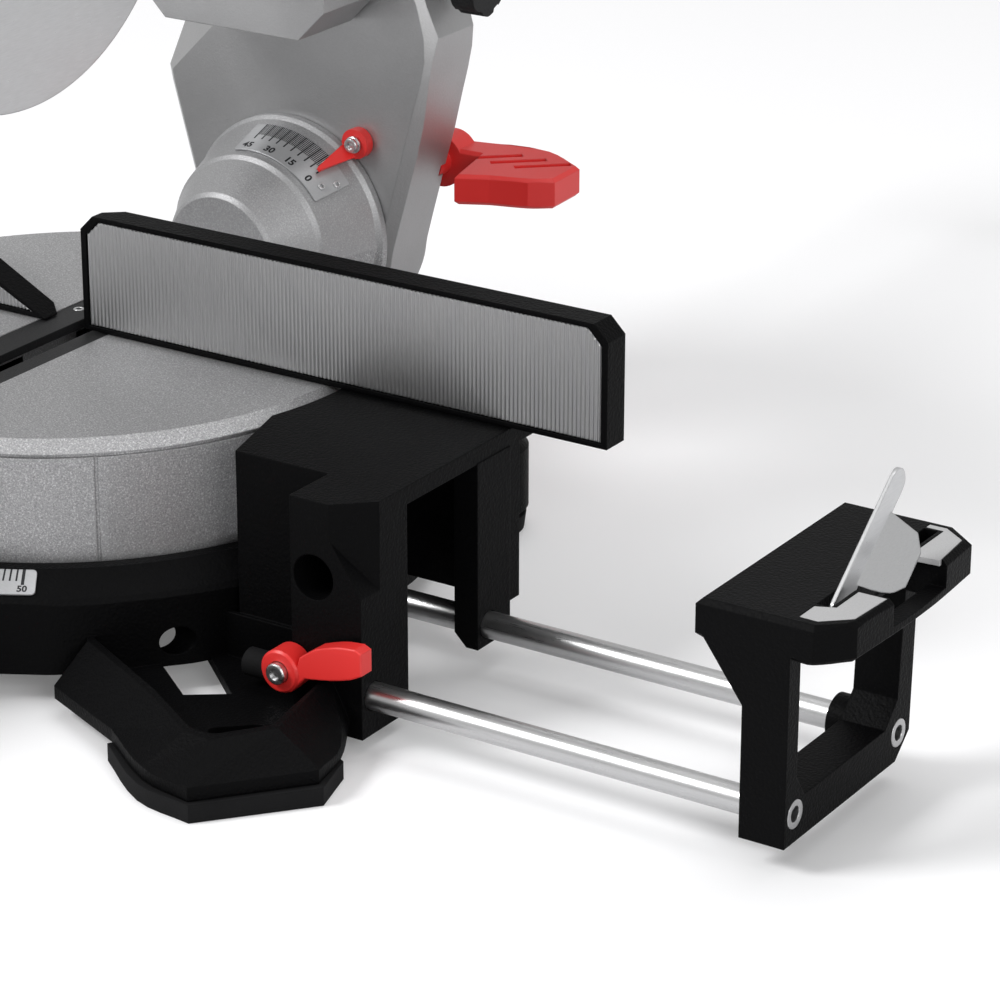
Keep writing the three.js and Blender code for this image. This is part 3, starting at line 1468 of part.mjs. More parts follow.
function headCasting() {
  const shell = cut(
    sector(SHELL_RADIUS, SHELL_FROM, SHELL_TO, -SHELL_HALF, SHELL_HALF),
    headDisc(SHELL_RADIUS - SHELL_WALL, SHELL_WALL - SHELL_HALF, SHELL_HALF - SHELL_WALL),
  );
  const gear = join(
    headDisc(GEAR_RADIUS, SHELL_HALF - SHELL_WALL, SHELL_HALF + GEAR_LENGTH),
    bar(
      "x",
      MOTOR_RADIUS - SEAT,
      SHELL_HALF - SHELL_WALL,
      SHELL_HALF + GEAR_LENGTH,
      BLADE_Y + MOTOR_DY,
      BLADE_Z + MOTOR_DZ,
      MID_ROUND,
    ),
  );
  const hub = headDisc(GUARD_HUB, -SHELL_HALF, SHELL_WALL - SHELL_HALF);
  const link = prism(
    "x",
    [
      linkFoot(),
      ...arc(PIN_Y, PIN_Z, LUG_RADIUS, LINK_FROM, 80, 12),
      pt(BLADE_Y + SHELL_RADIUS * 0.8, BLADE_Z + SHELL_RADIUS * 0.5),
    ],
    SHELL_WALL - SHELL_HALF,
    EAR_INNER - SEAT,
  );
  const lug = bar("x", LUG_RADIUS, SEAT - EAR_INNER, EAR_INNER - SEAT, PIN_Y, PIN_Z, MID_ROUND);
  const inner = headDisc(
    SHELL_RADIUS - SHELL_WALL,
    SHELL_WALL - SHELL_HALF,
    SHELL_HALF - SHELL_WALL,
  );
  const arbor = headDisc(SHAFT_RADIUS + SEAT, SHELL_HALF - SHELL_WALL - OVERRUN, GEAR_LENGTH, SMALL_ROUND);
  const pin = bar("x", PIN_RADIUS + SEAT, -EAR_OUTER, EAR_OUTER, PIN_Y, PIN_Z);
  const front = headDisc(BOLT_RADIUS * 2, -SHELL_HALF - OVERRUN, SHELL_WALL - SHELL_HALF + SEAT, MID_ROUND);
  const button = bar(
    "x",
    LOCK_BUTTON_RADIUS / 2 + SEAT,
    SHELL_HALF + GEAR_LENGTH - 2 * LOCK_BUTTON_LENGTH,
    SHELL_HALF + GEAR_LENGTH + OVERRUN,
    BLADE_Y - GEAR_RADIUS * 0.6,
    BLADE_Z,
    SMALL_ROUND,
  );
  const latchReach = pt(TRANSPORT_Y - PIN_Y, TRANSPORT_Z - PIN_Z);
  const latchAt = latchReach.rotateAround(pt(0, 0), -turn(CHOP_ANGLE));
  const latch = bar(
    "x",
    TRANSPORT_RADIUS + SEAT,
    EAR_INNER - TRANSPORT_TRAVEL,
    EAR_INNER + OVERRUN,
    PIN_Y + latchAt.x,
    PIN_Z + latchAt.y,
    SMALL_ROUND,
  );
  const chute = aimedAtPort(
    bar("y", SHELL_HALF - SHELL_WALL, SHELL_RADIUS - 2 * SHELL_WALL, SHELL_RADIUS + OVERRUN, 0, 0),
  );
  const solidBody = join(cut(join(link, lug), inner), shell, gear, hub);
  return cut(solidBody, arbor, pin, front, button, latch, chute);
}

const pivotPin = () => bar("x", PIN_RADIUS, -EAR_OUTER - SEAT, EAR_OUTER + SEAT, PIN_Y, PIN_Z);

function motorHousing() {
  const from = SHELL_HALF + GEAR_LENGTH + SEAT;
  const to = from + MOTOR_LENGTH;
  const y = BLADE_Y + MOTOR_DY;
  const z = BLADE_Z + MOTOR_DZ;
  const body = turned(
    "x",
    [
      [0, from],
      [MOTOR_RADIUS, from],
      [MOTOR_RADIUS, from + MOTOR_LENGTH * 0.25],
      [MOTOR_RADIUS * 0.93, from + MOTOR_LENGTH * 0.32],
      [MOTOR_RADIUS * 0.9, to],
      [0, to],
    ],
    y,
    z,
    MID_ROUND,
  );
  const vents = Array.from({ length: VENT_COUNT }, (_, i) => {
    const slot = box(
      from + MOTOR_LENGTH * 0.5,
      from + MOTOR_LENGTH * 0.5 + VENT_LENGTH,
      y - VENT_DEPTH / 2,
      y + VENT_DEPTH / 2,
      z + MOTOR_RADIUS * 0.9 - VENT_DEPTH,
      z + MOTOR_RADIUS + OVERRUN,
    );
    return spun(slot, X_AXIS, (360 * i) / VENT_COUNT, new THREE.Vector3(0, y, z));
  });
  return cut(body, ...vents);
}

function motorCap() {
  const from = SHELL_HALF + GEAR_LENGTH + MOTOR_LENGTH + 2 * SEAT;
  return turned(
    "x",
    [
      [0, from],
      [MOTOR_RADIUS * 0.92, from],
      [MOTOR_RADIUS * 0.92, from + MOTOR_CAP_LENGTH * 0.6],
      [MOTOR_RADIUS * 0.8, from + MOTOR_CAP_LENGTH * 0.92],
      [MOTOR_RADIUS * 0.6, from + MOTOR_CAP_LENGTH],
      [0, from + MOTOR_CAP_LENGTH],
    ],
    BLADE_Y + MOTOR_DY,
    BLADE_Z + MOTOR_DZ,
    MID_ROUND,
  );
}

// Cable gland on the rear of the motor housing.
function cordGland() {
  const x = SHELL_HALF + GEAR_LENGTH + MOTOR_LENGTH * 0.15;
  const from = BLADE_Y + MOTOR_DY + MOTOR_RADIUS - GLAND_RADIUS / 2;
  const body = turned(
    "y",
    [
      [0, from],
      [GLAND_RADIUS, from],
      [GLAND_RADIUS, from + GLAND_LENGTH * 0.6],
      [GLAND_RADIUS * 0.7, from + GLAND_LENGTH],
      [GLAND_RADIUS * 0.5, from + GLAND_LENGTH],
      [GLAND_RADIUS * 0.5, from + GLAND_LENGTH * 0.7],
      [0, from + GLAND_LENGTH * 0.7],
    ],
    x,
    BLADE_Z + MOTOR_DZ,
    SMALL_ROUND,
  );
  const housing = bar(
    "x",
    MOTOR_RADIUS + SEAT,
    0,
    x + 2 * GLAND_LENGTH,
    BLADE_Y + MOTOR_DY,
    BLADE_Z + MOTOR_DZ,
    MID_ROUND,
  );
  return cut(body, housing);
}

// Saw blade with hooked teeth.
function sawBlade() {
  const step = 360 / BLADE_TEETH;
  const root = BLADE_RADIUS - TOOTH_DEPTH;
  const outline = Array.from({ length: BLADE_TEETH }, (_, i) => [
    polar(BLADE_Y, BLADE_Z, BLADE_RADIUS, i * step),
    polar(BLADE_Y, BLADE_Z, BLADE_RADIUS - TOOTH_DEPTH * TOOTH_FALL_SHARE, (i + 0.3) * step),
    polar(BLADE_Y, BLADE_Z, root, (i + 0.6) * step),
    polar(BLADE_Y, BLADE_Z, root, (i + 0.88) * step),
  ]).flat();
  const bore = new THREE.Path(arc(BLADE_Y, BLADE_Z, BLADE_BORE, 0, 352, 23).toReversed());
  return prism("x", outline, -BLADE_THICK / 2, BLADE_THICK / 2, [bore]);
}

function bladeFlange() {
  const from = -BLADE_THICK / 2 - SEAT - FLANGE_THICK;
  return turned(
    "x",
    [
      [SHAFT_RADIUS + SEAT, from],
      [FLANGE_RADIUS - SEAT, from],
      [FLANGE_RADIUS, from + FLANGE_THICK],
      [SHAFT_RADIUS + SEAT, from + FLANGE_THICK],
      [SHAFT_RADIUS + SEAT, from],
    ],
    BLADE_Y,
    BLADE_Z,
    MID_ROUND,
  );
}

function arborShaft() {
  const flange = BLADE_THICK / 2 + SEAT;
  const outer = -BLADE_THICK / 2 - 2 * SEAT - FLANGE_THICK;
  return turned(
    "x",
    [
      [0, outer - BOLT_LENGTH],
      [BOLT_RADIUS * 0.85, outer - BOLT_LENGTH],
      [BOLT_RADIUS, outer - BOLT_LENGTH * 0.8],
      [BOLT_RADIUS, outer],
      [SHAFT_RADIUS, outer],
      [SHAFT_RADIUS, flange],
      [FLANGE_RADIUS, flange],
      [FLANGE_RADIUS, flange + FLANGE_THICK],
      [SHAFT_RADIUS, flange + FLANGE_THICK],
      [SHAFT_RADIUS, GEAR_LENGTH - SEAT],
      [0, GEAR_LENGTH - SEAT],
    ],
    BLADE_Y,
    BLADE_Z,
    MID_ROUND,
  );
}

// Lower guard: two plates and a rim, open towards the upper guard.
function lowerGuard() {
  const body = sector(GUARD_RADIUS, GUARD_FROM, GUARD_TO, -GUARD_HALF, GUARD_HALF);
  const hub = headDisc(GUARD_HUB - SEAT, -GUARD_HALF, GUARD_HALF, MID_ROUND);
  const lugs = headDisc(GUARD_HUB - SEAT, GUARD_HALF - SEAT, SHELL_HALF - SHELL_WALL - SEAT, MID_ROUND);
  const inner = headDisc(GUARD_RADIUS - GUARD_WALL, GUARD_WALL - GUARD_HALF, GUARD_HALF - GUARD_WALL);
  const bore = headDisc(GUARD_BORE, -SHELL_HALF, SHELL_HALF, MID_ROUND);
  return cut(join(body, hub, lugs), inner, bore);
}

function spindleLockButton() {
  const face = SHELL_HALF + GEAR_LENGTH;
  const y = BLADE_Y - GEAR_RADIUS * 0.6;
  return turned(
    "x",
    [
      [0, face - LOCK_BUTTON_LENGTH - LOCK_TRAVEL / 2],
      [LOCK_BUTTON_RADIUS / 2, face - LOCK_BUTTON_LENGTH - LOCK_TRAVEL / 2],
      [LOCK_BUTTON_RADIUS / 2, face + LOCK_TRAVEL + SEAT],
      [LOCK_BUTTON_RADIUS, face + LOCK_TRAVEL + SEAT],
      [LOCK_BUTTON_RADIUS, face + LOCK_BUTTON_LENGTH],
      [0, face + LOCK_BUTTON_LENGTH],
    ],
    y,
    BLADE_Z,
    SMALL_ROUND,
  );
}

// A body along y turned to the dust port's direction, from the blade's centre.
function aimedAtPort(body) {
  const centre = new THREE.Matrix4().makeTranslation(0, BLADE_Y, BLADE_Z);
  return moved(spun(body, X_AXIS, PORT_ANGLE), centre);
}

function dustPort() {
  const tube = turned(
    "y",
    [
      [PORT_BORE, SHELL_RADIUS - PORT_RADIUS / 2],
      [PORT_RADIUS, SHELL_RADIUS - PORT_RADIUS / 2],
      [PORT_RADIUS, SHELL_RADIUS + PORT_LENGTH],
      [PORT_BORE, SHELL_RADIUS + PORT_LENGTH],
      [PORT_BORE, SHELL_RADIUS - PORT_RADIUS / 2],
    ],
    0,
    0,
    SMALL_ROUND,
  );
  const shell = sector(SHELL_RADIUS + SEAT, SHELL_FROM, SHELL_TO, -2 * PORT_RADIUS, 2 * PORT_RADIUS);
  return cut(aimedAtPort(tube), shell);
}

// D-handle on the front of the head, with the trigger inside its loop.
const handleShares = [
  [0.5, -0.2],
  [0.46, 0.18],
  [0.2, 0.46],
  [-0.16, 0.5],
  [-0.42, 0.34],
  [-0.5, 0.04],
  [-0.4, -0.26],
  [-0.12, -0.42],
  [0.24, -0.46],
];

function handleBody() {
  const loop = (inset) =>
    new THREE.SplineCurve(
      [...handleShares, handleShares[0]].map(([a, b]) =>
        pt(HANDLE_Y + a * (HANDLE_LENGTH - 2 * inset), HANDLE_Z + b * (HANDLE_HEIGHT - 2 * inset)),
      ),
    ).getPoints(24);
  const hole = new THREE.Path(loop(HANDLE_BAR));
  const ring = prism("x", loop(0), -HANDLE_HALF, HANDLE_HALF, [hole], HANDLE_EDGE);
  const foot = prism(
    "x",
    [
      pt(HANDLE_Y + HANDLE_LENGTH * 0.3, HANDLE_Z - HANDLE_HEIGHT * 0.42),
      pt(BLADE_Y, BLADE_Z),
      pt(BLADE_Y, HANDLE_Z + HANDLE_HEIGHT * 0.3),
      pt(HANDLE_Y + HANDLE_LENGTH * 0.36, HANDLE_Z + HANDLE_HEIGHT * 0.2),
    ],
    -SHELL_HALF,
    SHELL_HALF,
  );
  const bore = bar(
    "x",
    BUTTON_RADIUS + SEAT,
    HANDLE_HALF - BUTTON_LENGTH * 1.6,
    HANDLE_HALF + OVERRUN,
    HANDLE_Y - HANDLE_LENGTH * 0.1,
    HANDLE_Z + HANDLE_HEIGHT / 2 - HANDLE_BAR / 2,
    SMALL_ROUND,
  );
  const shell = sector(SHELL_RADIUS + SEAT, SHELL_FROM, SHELL_TO, -2 * HANDLE_HALF, 2 * HANDLE_HALF);
  return cut(join(ring, foot), shell, bore);
}

const TRIGGER_Y = HANDLE_Y + HANDLE_LENGTH * 0.06;
const TRIGGER_Z = HANDLE_Z + HANDLE_HEIGHT / 2 - HANDLE_BAR - SEAT * 4;

function trigger() {
  return prism(
    "x",
    [
      pt(TRIGGER_Y, TRIGGER_Z),
      pt(TRIGGER_Y - TRIGGER_LENGTH, TRIGGER_Z - TRIGGER_DEPTH * 0.7),
      pt(TRIGGER_Y - TRIGGER_LENGTH * 0.9, TRIGGER_Z - TRIGGER_DEPTH * 1.2),
      pt(TRIGGER_Y - TRIGGER_LENGTH * 0.3, TRIGGER_Z - TRIGGER_DEPTH),
      pt(TRIGGER_Y, TRIGGER_Z - TRIGGER_DEPTH * 0.5),
    ],
    -TRIGGER_HALF,
    TRIGGER_HALF,
  );
}

function lockOffButton() {
  return turned(
    "x",
    [
      [0, HANDLE_HALF - BUTTON_LENGTH],
      [BUTTON_RADIUS, HANDLE_HALF - BUTTON_LENGTH],
      [BUTTON_RADIUS, HANDLE_HALF + BUTTON_LENGTH * 0.4],
      [BUTTON_RADIUS * 0.7, HANDLE_HALF + BUTTON_LENGTH * 0.6],
      [0, HANDLE_HALF + BUTTON_LENGTH * 0.6],
    ],
    HANDLE_Y - HANDLE_LENGTH * 0.1,
    HANDLE_Z + HANDLE_HEIGHT / 2 - HANDLE_BAR / 2,
    SMALL_ROUND,
  );
}

// End bracket: a window frame across the rods with a table head on top.
const headShares = [
  [0, 0],
  [0.79, 0],
  [0.975, 0.105],
  [1, 0.42],
  [1, 0.64],
  [0.97, 0.92],
  [0.79, 1],
  [0, 1],
];
const frontInlayShares = [
  [0.64, 0.05],
  [0.77, 0.048],
  [0.935, 0.13],
  [0.957, 0.33],
  [0.76, 0.33],
  [0.76, 0.18],
  [0.64, 0.15],
];
const rearInlayShares = [
  [0.76, 0.69],
  [0.957, 0.7],
  [0.925, 0.9],
  [0.763, 0.965],
  [0.64, 0.965],
  [0.64, 0.935],
  [0.76, 0.935],
];
const HEAD_LENGTH = FRONT_Y + HEAD_REAR;
const HEAD_BOTTOM = TABLE_TOP - HEAD_THICK;
const headOutline = (shares) => placed(shares, HEAD_INNER_X, -FRONT_Y, HEAD_WIDTH, HEAD_LENGTH);

function bracketFrame() {
  const inner = BRACKET_X - BRACKET_THICK;
  const corner = BRACKET_CORNER;
  const bottom = BRACKET_BOTTOM;
  const rear = -BRACKET_REAR_Y;
  const front = BRACKET_FRONT_BAR - FRONT_Y;
  const sill = bottom + BRACKET_BAR;
  const back = rear - BRACKET_REAR_BAR;
  const outline = [
    pt(-FRONT_Y, bottom),
    pt(rear - corner * 1.4, bottom),
    pt(rear - corner / 4, bottom + corner),
    pt(rear, HEAD_BOTTOM),
    pt(rear, TABLE_TOP - HEAD_EDGE),
    pt(-FRONT_Y, TABLE_TOP - HEAD_EDGE),
  ];
  const window = [
    pt(front, sill + corner),
    pt(front + corner * 0.7, sill),
    pt(back - corner, sill),
    pt(back, sill + corner),
    pt(back + corner / 3, HEAD_BOTTOM),
    pt(front, HEAD_BOTTOM),
  ];
  return cut(
    prism("x", outline, inner, BRACKET_X),
    prism("x", window, inner - OVERRUN, BRACKET_X + OVERRUN),
  );
}

// Sloping necks that carry the inner edge of the head.
function bracketNecks() {
  const inner = BRACKET_X - BRACKET_THICK;
  const outline = [
    pt(HEAD_INNER_X, TABLE_TOP - HEAD_EDGE),
    pt(HEAD_INNER_X, TABLE_TOP - NECK_LIP),
    pt(inner, TABLE_TOP - NECK_DROP),
    pt(inner + NECK_LIP / 2, TABLE_TOP - NECK_DROP),
    pt(inner + NECK_LIP / 2, TABLE_TOP - HEAD_EDGE),
  ];
  const front = prism("y", outline, -FRONT_Y, NECK_THICK - FRONT_Y);
  const rear = prism("y", outline, -BRACKET_REAR_Y - NECK_THICK, -BRACKET_REAR_Y);
  return join(front, rear);
}

function endBracket() {
  const head = prism("z", headOutline(headShares), HEAD_BOTTOM, TABLE_TOP, [], HEAD_EDGE);
  const boss = bar(
    "x",
    BOSS_RADIUS,
    BRACKET_X - BRACKET_THICK - BOSS_LENGTH,
    BRACKET_X - OVERRUN,
    -ROD_REAR_Y,
    ROD_HEIGHT,
    SMALL_ROUND,
  );
  const slot = box(
    BRACKET_X,
    BRACKET_X + STOP_SLOT_WIDTH,
    -STOP_SLOT_FRONT,
    -STOP_SLOT_REAR,
    TABLE_TOP - STOP_SLOT_DEPTH,
    TABLE_TOP + OVERRUN,
  );
  const outer = HEAD_INNER_X + HEAD_WIDTH;
  const notch = prism(
    "y",
    [
      pt(BRACKET_X + SEAT, TABLE_TOP + OVERRUN),
      pt(BRACKET_X + SEAT, HEAD_BOTTOM - OVERRUN),
      pt(outer - NOTCH_RIM - SEAT, HEAD_BOTTOM - OVERRUN),
      pt(outer - NOTCH_RIM, TABLE_TOP - NOTCH_RIM_DROP),
      pt(outer + OVERRUN, TABLE_TOP - NOTCH_RIM_DROP),
      pt(outer + OVERRUN, TABLE_TOP + OVERRUN),
    ],
    -NOTCH_FRONT,
    -NOTCH_REAR,
  );
  const bores = [ROD_FRONT_Y, ROD_REAR_Y].map((y) =>
    bar("x", ROD_RADIUS + SEAT, HEAD_INNER_X, BRACKET_X + OVERRUN, -y, ROD_HEIGHT, SMALL_ROUND),
  );
  const beds = [frontInlayShares, rearInlayShares].map((shares) =>
    prism("z", headOutline(shares), TABLE_TOP - INLAY_THICK - SEAT, TABLE_TOP + OVERRUN),
  );
  const pin = bar(
    "x",
    STOP_PIN_RADIUS + SEAT,
    BRACKET_X - BRACKET_THICK / 3,
    outer - NOTCH_RIM,
    -STOP_PIVOT_Y,
    TABLE_TOP - STOP_PIVOT_DROP,
    TINY_ROUND,
  );
  return cut(join(bracketFrame(), bracketNecks(), head, boss), slot, notch, pin, ...bores, ...beds);
}

const inlay = (shares) =>
  prism("z", inset(headOutline(shares), SEAT), TABLE_TOP - INLAY_THICK, TABLE_TOP);

function extensionRod(y) {
  const round = (radius, from) => bar("x", radius, from, BRACKET_X, -y, ROD_HEIGHT, SMALL_ROUND);
  return cut(
    round(ROD_RADIUS, ROD_INNER_X),
    bar("x", ROD_BORE, BRACKET_X - BRACKET_THICK, BRACKET_X + OVERRUN, -y, ROD_HEIGHT, SMALL_ROUND),
  );
}

// Flip stop: a steel finger that pivots on a pin, with a tab bent outwards to lift it by.
function flipStop() {
  const pivotZ = TABLE_TOP - STOP_PIVOT_DROP;
  const x0 = BRACKET_X + STOP_SHEET;
  const half = STOP_WIDTH / 2;
  const tip = arc(STOP_LENGTH - half, 0, half, -90, 90, 6);
  const finger = [...tip, ...arc(0, 0, half, 90, 270, 6)];
  const strip = prism("x", finger, x0, x0 + STOP_SHEET);
  const far = STOP_TAB_START + STOP_TAB_LENGTH;
  const slant = STOP_TAB_DOWN * 0.35;
  const fold = (u, share, thick) =>
    new THREE.Vector3(
      x0 + STOP_TAB_OUT * share + thick,
      u,
      -half + STOP_SHEET - STOP_TAB_DOWN * share,
    );
  const tabRing = (share, u0, u1) => [
    fold(u0, share, 0),
    fold(u1, share, 0),
    fold(u1, share, STOP_SHEET),
    fold(u0, share, STOP_SHEET),
  ];
  const tab = loft([
    tabRing(1, STOP_TAB_START + 2 * slant, far - slant),
    tabRing(0.75, STOP_TAB_START + slant, far),
    tabRing(0, STOP_TAB_START, far),
  ]);
  const eye = bar(
    "x",
    STOP_PIN_RADIUS + SEAT,
    BRACKET_X,
    BRACKET_X + STOP_SLOT_WIDTH,
    0,
    0,
    TINY_ROUND,
  );
  const flat = cut(join(strip, tab), eye);
  const raised = spun(flat, X_AXIS, STOP_ANGLE);
  return moved(raised, new THREE.Matrix4().makeTranslation(0, -STOP_PIVOT_Y, pivotZ));
}

const stopPin = () =>
  bar(
    "x",
    STOP_PIN_RADIUS,
    BRACKET_X - BRACKET_THICK / 3 + SEAT,
    HEAD_INNER_X + HEAD_WIDTH - NOTCH_RIM - SEAT,
    -STOP_PIVOT_Y,
    TABLE_TOP - STOP_PIVOT_DROP,
    TINY_ROUND,
  );

// Clamp lever: a round hub with a cam lobe and a ribbed finger grip.
const clampShares = [
  [0.24, 0.3],
  [0.44, 0.5],
  [0.7, 0.62],
  [0.92, 0.66],
  [1, 0.61],
  [1, 0.27],
  [0.85, 0.16],
  [0.6, 0.06],
  [0.3, -0.02],
  [0.12, -0.3],
];

function clampLever() {
  const rear = -FRONT_Y - SEAT;
  const front = rear - CLAMP_HUB_LENGTH;
  const hub = turned(
    "y",
    [
      [0, front],
      [CLAMP_HUB_RADIUS - PAN_EDGE / 2, front],
      [CLAMP_HUB_RADIUS, front + PAN_EDGE / 2],
      [CLAMP_HUB_RADIUS, rear],
      [0, rear],
    ],
    CLAMP_X,
    CLAMP_Z,
    MID_ROUND,
  );
  const grip = prism(
    "y",
    placed(clampShares, CLAMP_X, CLAMP_Z, CLAMP_REACH, CLAMP_REACH * 0.7),
    front + PAN_EDGE / 2,
    rear - PAN_EDGE,
    [],
    PAN_EDGE / 4,
  );
  const bore = bar("y", CLAMP_SCREW_RADIUS + SEAT, front - OVERRUN, rear + OVERRUN, CLAMP_X, CLAMP_Z, SMALL_ROUND);
  const sink = bar(
    "y",
    CLAMP_HEAD_RADIUS + SEAT,
    front - OVERRUN,
    front + CLAMP_HEAD_LENGTH / 2,
    CLAMP_X,
    CLAMP_Z,
    SMALL_ROUND,
  );
  return cut(join(hub, grip), bore, sink);
}

function clampScrew() {
  const seat = -FRONT_Y - SEAT - CLAMP_HUB_LENGTH + CLAMP_HEAD_LENGTH / 2 - SEAT;
  return turned(
    "y",
    [
      [0, seat - CLAMP_HEAD_LENGTH],
      [CLAMP_HEAD_RADIUS * 0.6, seat - CLAMP_HEAD_LENGTH],
      [CLAMP_HEAD_RADIUS, seat - CLAMP_HEAD_LENGTH / 2],
      [CLAMP_HEAD_RADIUS, seat],
      [CLAMP_SCREW_RADIUS, seat],
      [CLAMP_SCREW_RADIUS, CLAMP_SCREW_DEPTH - FRONT_Y],
      [0, CLAMP_SCREW_DEPTH - FRONT_Y],
    ],
    CLAMP_X,
    CLAMP_Z,
    SMALL_ROUND,
  );
}

// Bolts on the two main axes
function mitrePivotBolt() {
  const under = TRACK_Z - 2 * PAN_FLOOR;
  return turned(
    "z",
    [
      [0, under - SEAT - PIVOT_HEAD_LENGTH],
      [PIVOT_HEAD_RADIUS, under - SEAT - PIVOT_HEAD_LENGTH],
      [PIVOT_HEAD_RADIUS, under - SEAT],
      [PIVOT_RADIUS, under - SEAT],
      [PIVOT_RADIUS, PIVOT_TOP],
      [0, PIVOT_TOP],
    ],
    0,
    0,
    SMALL_ROUND,
  );
}

function tiltPivotBolt() {
  const rear = TILT_FRONT + TILT_DEPTH + SEAT;
  return turned(
    "y",
    [
      [0, DRUM_EDGE_Y + SEAT],
      [TILT_BOLT_RADIUS, DRUM_EDGE_Y + SEAT],
      [TILT_BOLT_RADIUS, rear],
      [TILT_BOLT_HEAD, rear],
      [TILT_BOLT_HEAD, rear + TILT_BOLT_RADIUS],
      [0, rear + TILT_BOLT_RADIUS],
    ],
    0,
    AXIS_Z,
    SMALL_ROUND,
  );
}

// The whole saw
const saw = new THREE.Group();
const add = (name, body, material) => saw.add(meshOf(name, body, material));

add("base_casting", baseCasting(), BLACK_COAT);
saw.add(...soles);
add("mitre_scale", mitreScale(), SCALE_PLATE);
add("mitre_pivot_bolt", mitrePivotBolt(), STEEL);
add("turntable_casting", turntableCasting(), CAST_SILVER);
add("kerf_insert", kerfInsert(), DARK_PLASTIC);
add("mitre_pointer", mitrePointer(), RED_PLASTIC);
add("bevel_scale", bevelScale(), SCALE_PLATE);
add("tilt_pivot_bolt", tiltPivotBolt(), STEEL);
add("mitre_lock_knob", mitreLockKnob(), DARK_PLASTIC);
add("detent_lever", detentLever(), RED_PLASTIC);
add("tilt_arm", tiltArm(), SATIN_CAST);
const needle = bevelPointer();
add("bevel_pointer", needle.body, RED_PLASTIC);
add("bevel_pointer_screw", needleScrew(needle), STEEL);
add("bevel_lock_lever", bevelLockLever(), RED_PLASTIC);
add("slide_lock_knob", slideLockKnob(), DARK_PLASTIC);
add("rail_end_cap", railEndCap(), DARK_PLASTIC);
add("head_block", headBlock(), SATIN_CAST);
add("transport_pin", transportPin(), RED_PLASTIC);
add("head_casting", headCasting(), SATIN_CAST);
add("head_pivot_pin", pivotPin(), STEEL);
add("motor_housing", motorHousing(), DARK_PLASTIC);
add("motor_cap", motorCap(), DARK_PLASTIC);
add("cord_gland", cordGland(), BLACK_RUBBER);
add("saw_blade", sawBlade(), STEEL);
add("blade_flange", bladeFlange(), STEEL);
add("arbor_shaft", arborShaft(), STEEL);
add("lower_guard", lowerGuard(), SHEET_STEEL);
add("spindle_lock_button", spindleLockButton(), RED_PLASTIC);
add("dust_port", dustPort(), DARK_PLASTIC);
add("handle", handleBody(), DARK_PLASTIC);
add("trigger", trigger(), RED_PLASTIC);
add("lock_off_button", lockOffButton(), RED_PLASTIC);

for (const { name, side } of SIDES) {
  const place = (label, body, material) => add(label + "_" + name, sided(body, side), material);
  place("fence", fenceCasting(side), BLACK_COAT);
  place("fence_face", fenceFace(side), STEEL);
  place("slide_rail", slideRail(1), STEEL);
  place("end_bracket", endBracket(), BLACK_COAT);
  place("inlay_front", inlay(frontInlayShares), INLAY_GREY);
  place("inlay_rear", inlay(rearInlayShares), INLAY_GREY);
  place("rod_front", extensionRod(ROD_FRONT_Y), STEEL);
  place("rod_rear", extensionRod(ROD_REAR_Y), STEEL);
  place("flip_stop", flipStop(), SHEET_STEEL);
  place("stop_pin", stopPin(), STEEL);
  place("clamp_lever", clampLever(), RED_PLASTIC);
  place("clamp_screw", clampScrew(), STEEL);
}

// Stood on its feet, with the middle of its length and depth over the origin.
const extent = new THREE.Box3().setFromObject(saw);
const middle = extent.getCenter(new THREE.Vector3());
saw.position.set(-middle.x, -middle.y, -extent.min.z);

export default saw;
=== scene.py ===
"""Looks of a sliding mitre saw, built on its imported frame. Metres, with the saw standing on z = 0."""

import json
import math

import bmesh
import bpy
import numpy as np
from mathutils import Matrix, Vector
from mathutils.bvhtree import BVHTree


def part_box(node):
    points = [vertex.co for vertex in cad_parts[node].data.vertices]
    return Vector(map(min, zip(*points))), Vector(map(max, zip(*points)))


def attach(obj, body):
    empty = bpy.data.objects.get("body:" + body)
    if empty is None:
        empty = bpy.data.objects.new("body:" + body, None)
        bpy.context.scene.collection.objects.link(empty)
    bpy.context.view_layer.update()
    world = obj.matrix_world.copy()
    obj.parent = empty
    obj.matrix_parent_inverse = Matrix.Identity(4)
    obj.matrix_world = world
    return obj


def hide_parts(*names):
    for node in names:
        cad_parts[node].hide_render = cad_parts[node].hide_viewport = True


bl_info = {
    "name": "Mitre Saw",
    "version": (1, 0, 0),
    "blender": (4, 5, 0),
    "location": "3D View > Sidebar > Mitre Saw",
    "description": "Dresses the packed frame of a sliding mitre saw with its finishes and fine details",
    "category": "Object",
}

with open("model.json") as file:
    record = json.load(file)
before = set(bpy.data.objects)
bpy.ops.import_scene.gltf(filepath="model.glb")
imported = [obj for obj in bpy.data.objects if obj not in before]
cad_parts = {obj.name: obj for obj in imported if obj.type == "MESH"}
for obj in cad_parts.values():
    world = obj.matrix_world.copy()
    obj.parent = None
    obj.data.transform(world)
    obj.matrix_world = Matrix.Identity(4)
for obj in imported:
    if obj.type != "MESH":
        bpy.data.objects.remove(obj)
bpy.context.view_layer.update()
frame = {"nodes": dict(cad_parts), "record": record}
NODES = frame["nodes"]
BODY_OF = {node: body for body, nodes in frame["record"]["behaviour"]["bodies"].items() for node in nodes}
SLOT_OF = {part["node"]: part["material_slot"] for part in frame["record"]["subparts"]}


def middle(node):
    """The middle of a node's box."""
    low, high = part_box(node)
    return (low + high) / 2


MM = 0.001
DRAWING_Y = middle("mitre_pivot_bolt").y  # the mitre axis, from which the drawing's places count
SIDES = (("right", 1), ("left", -1))  # names of the sides, and which way each lies across the saw
TABLE_TOP = 0.1085  # just over the table, from where the silver paint has fewer flakes

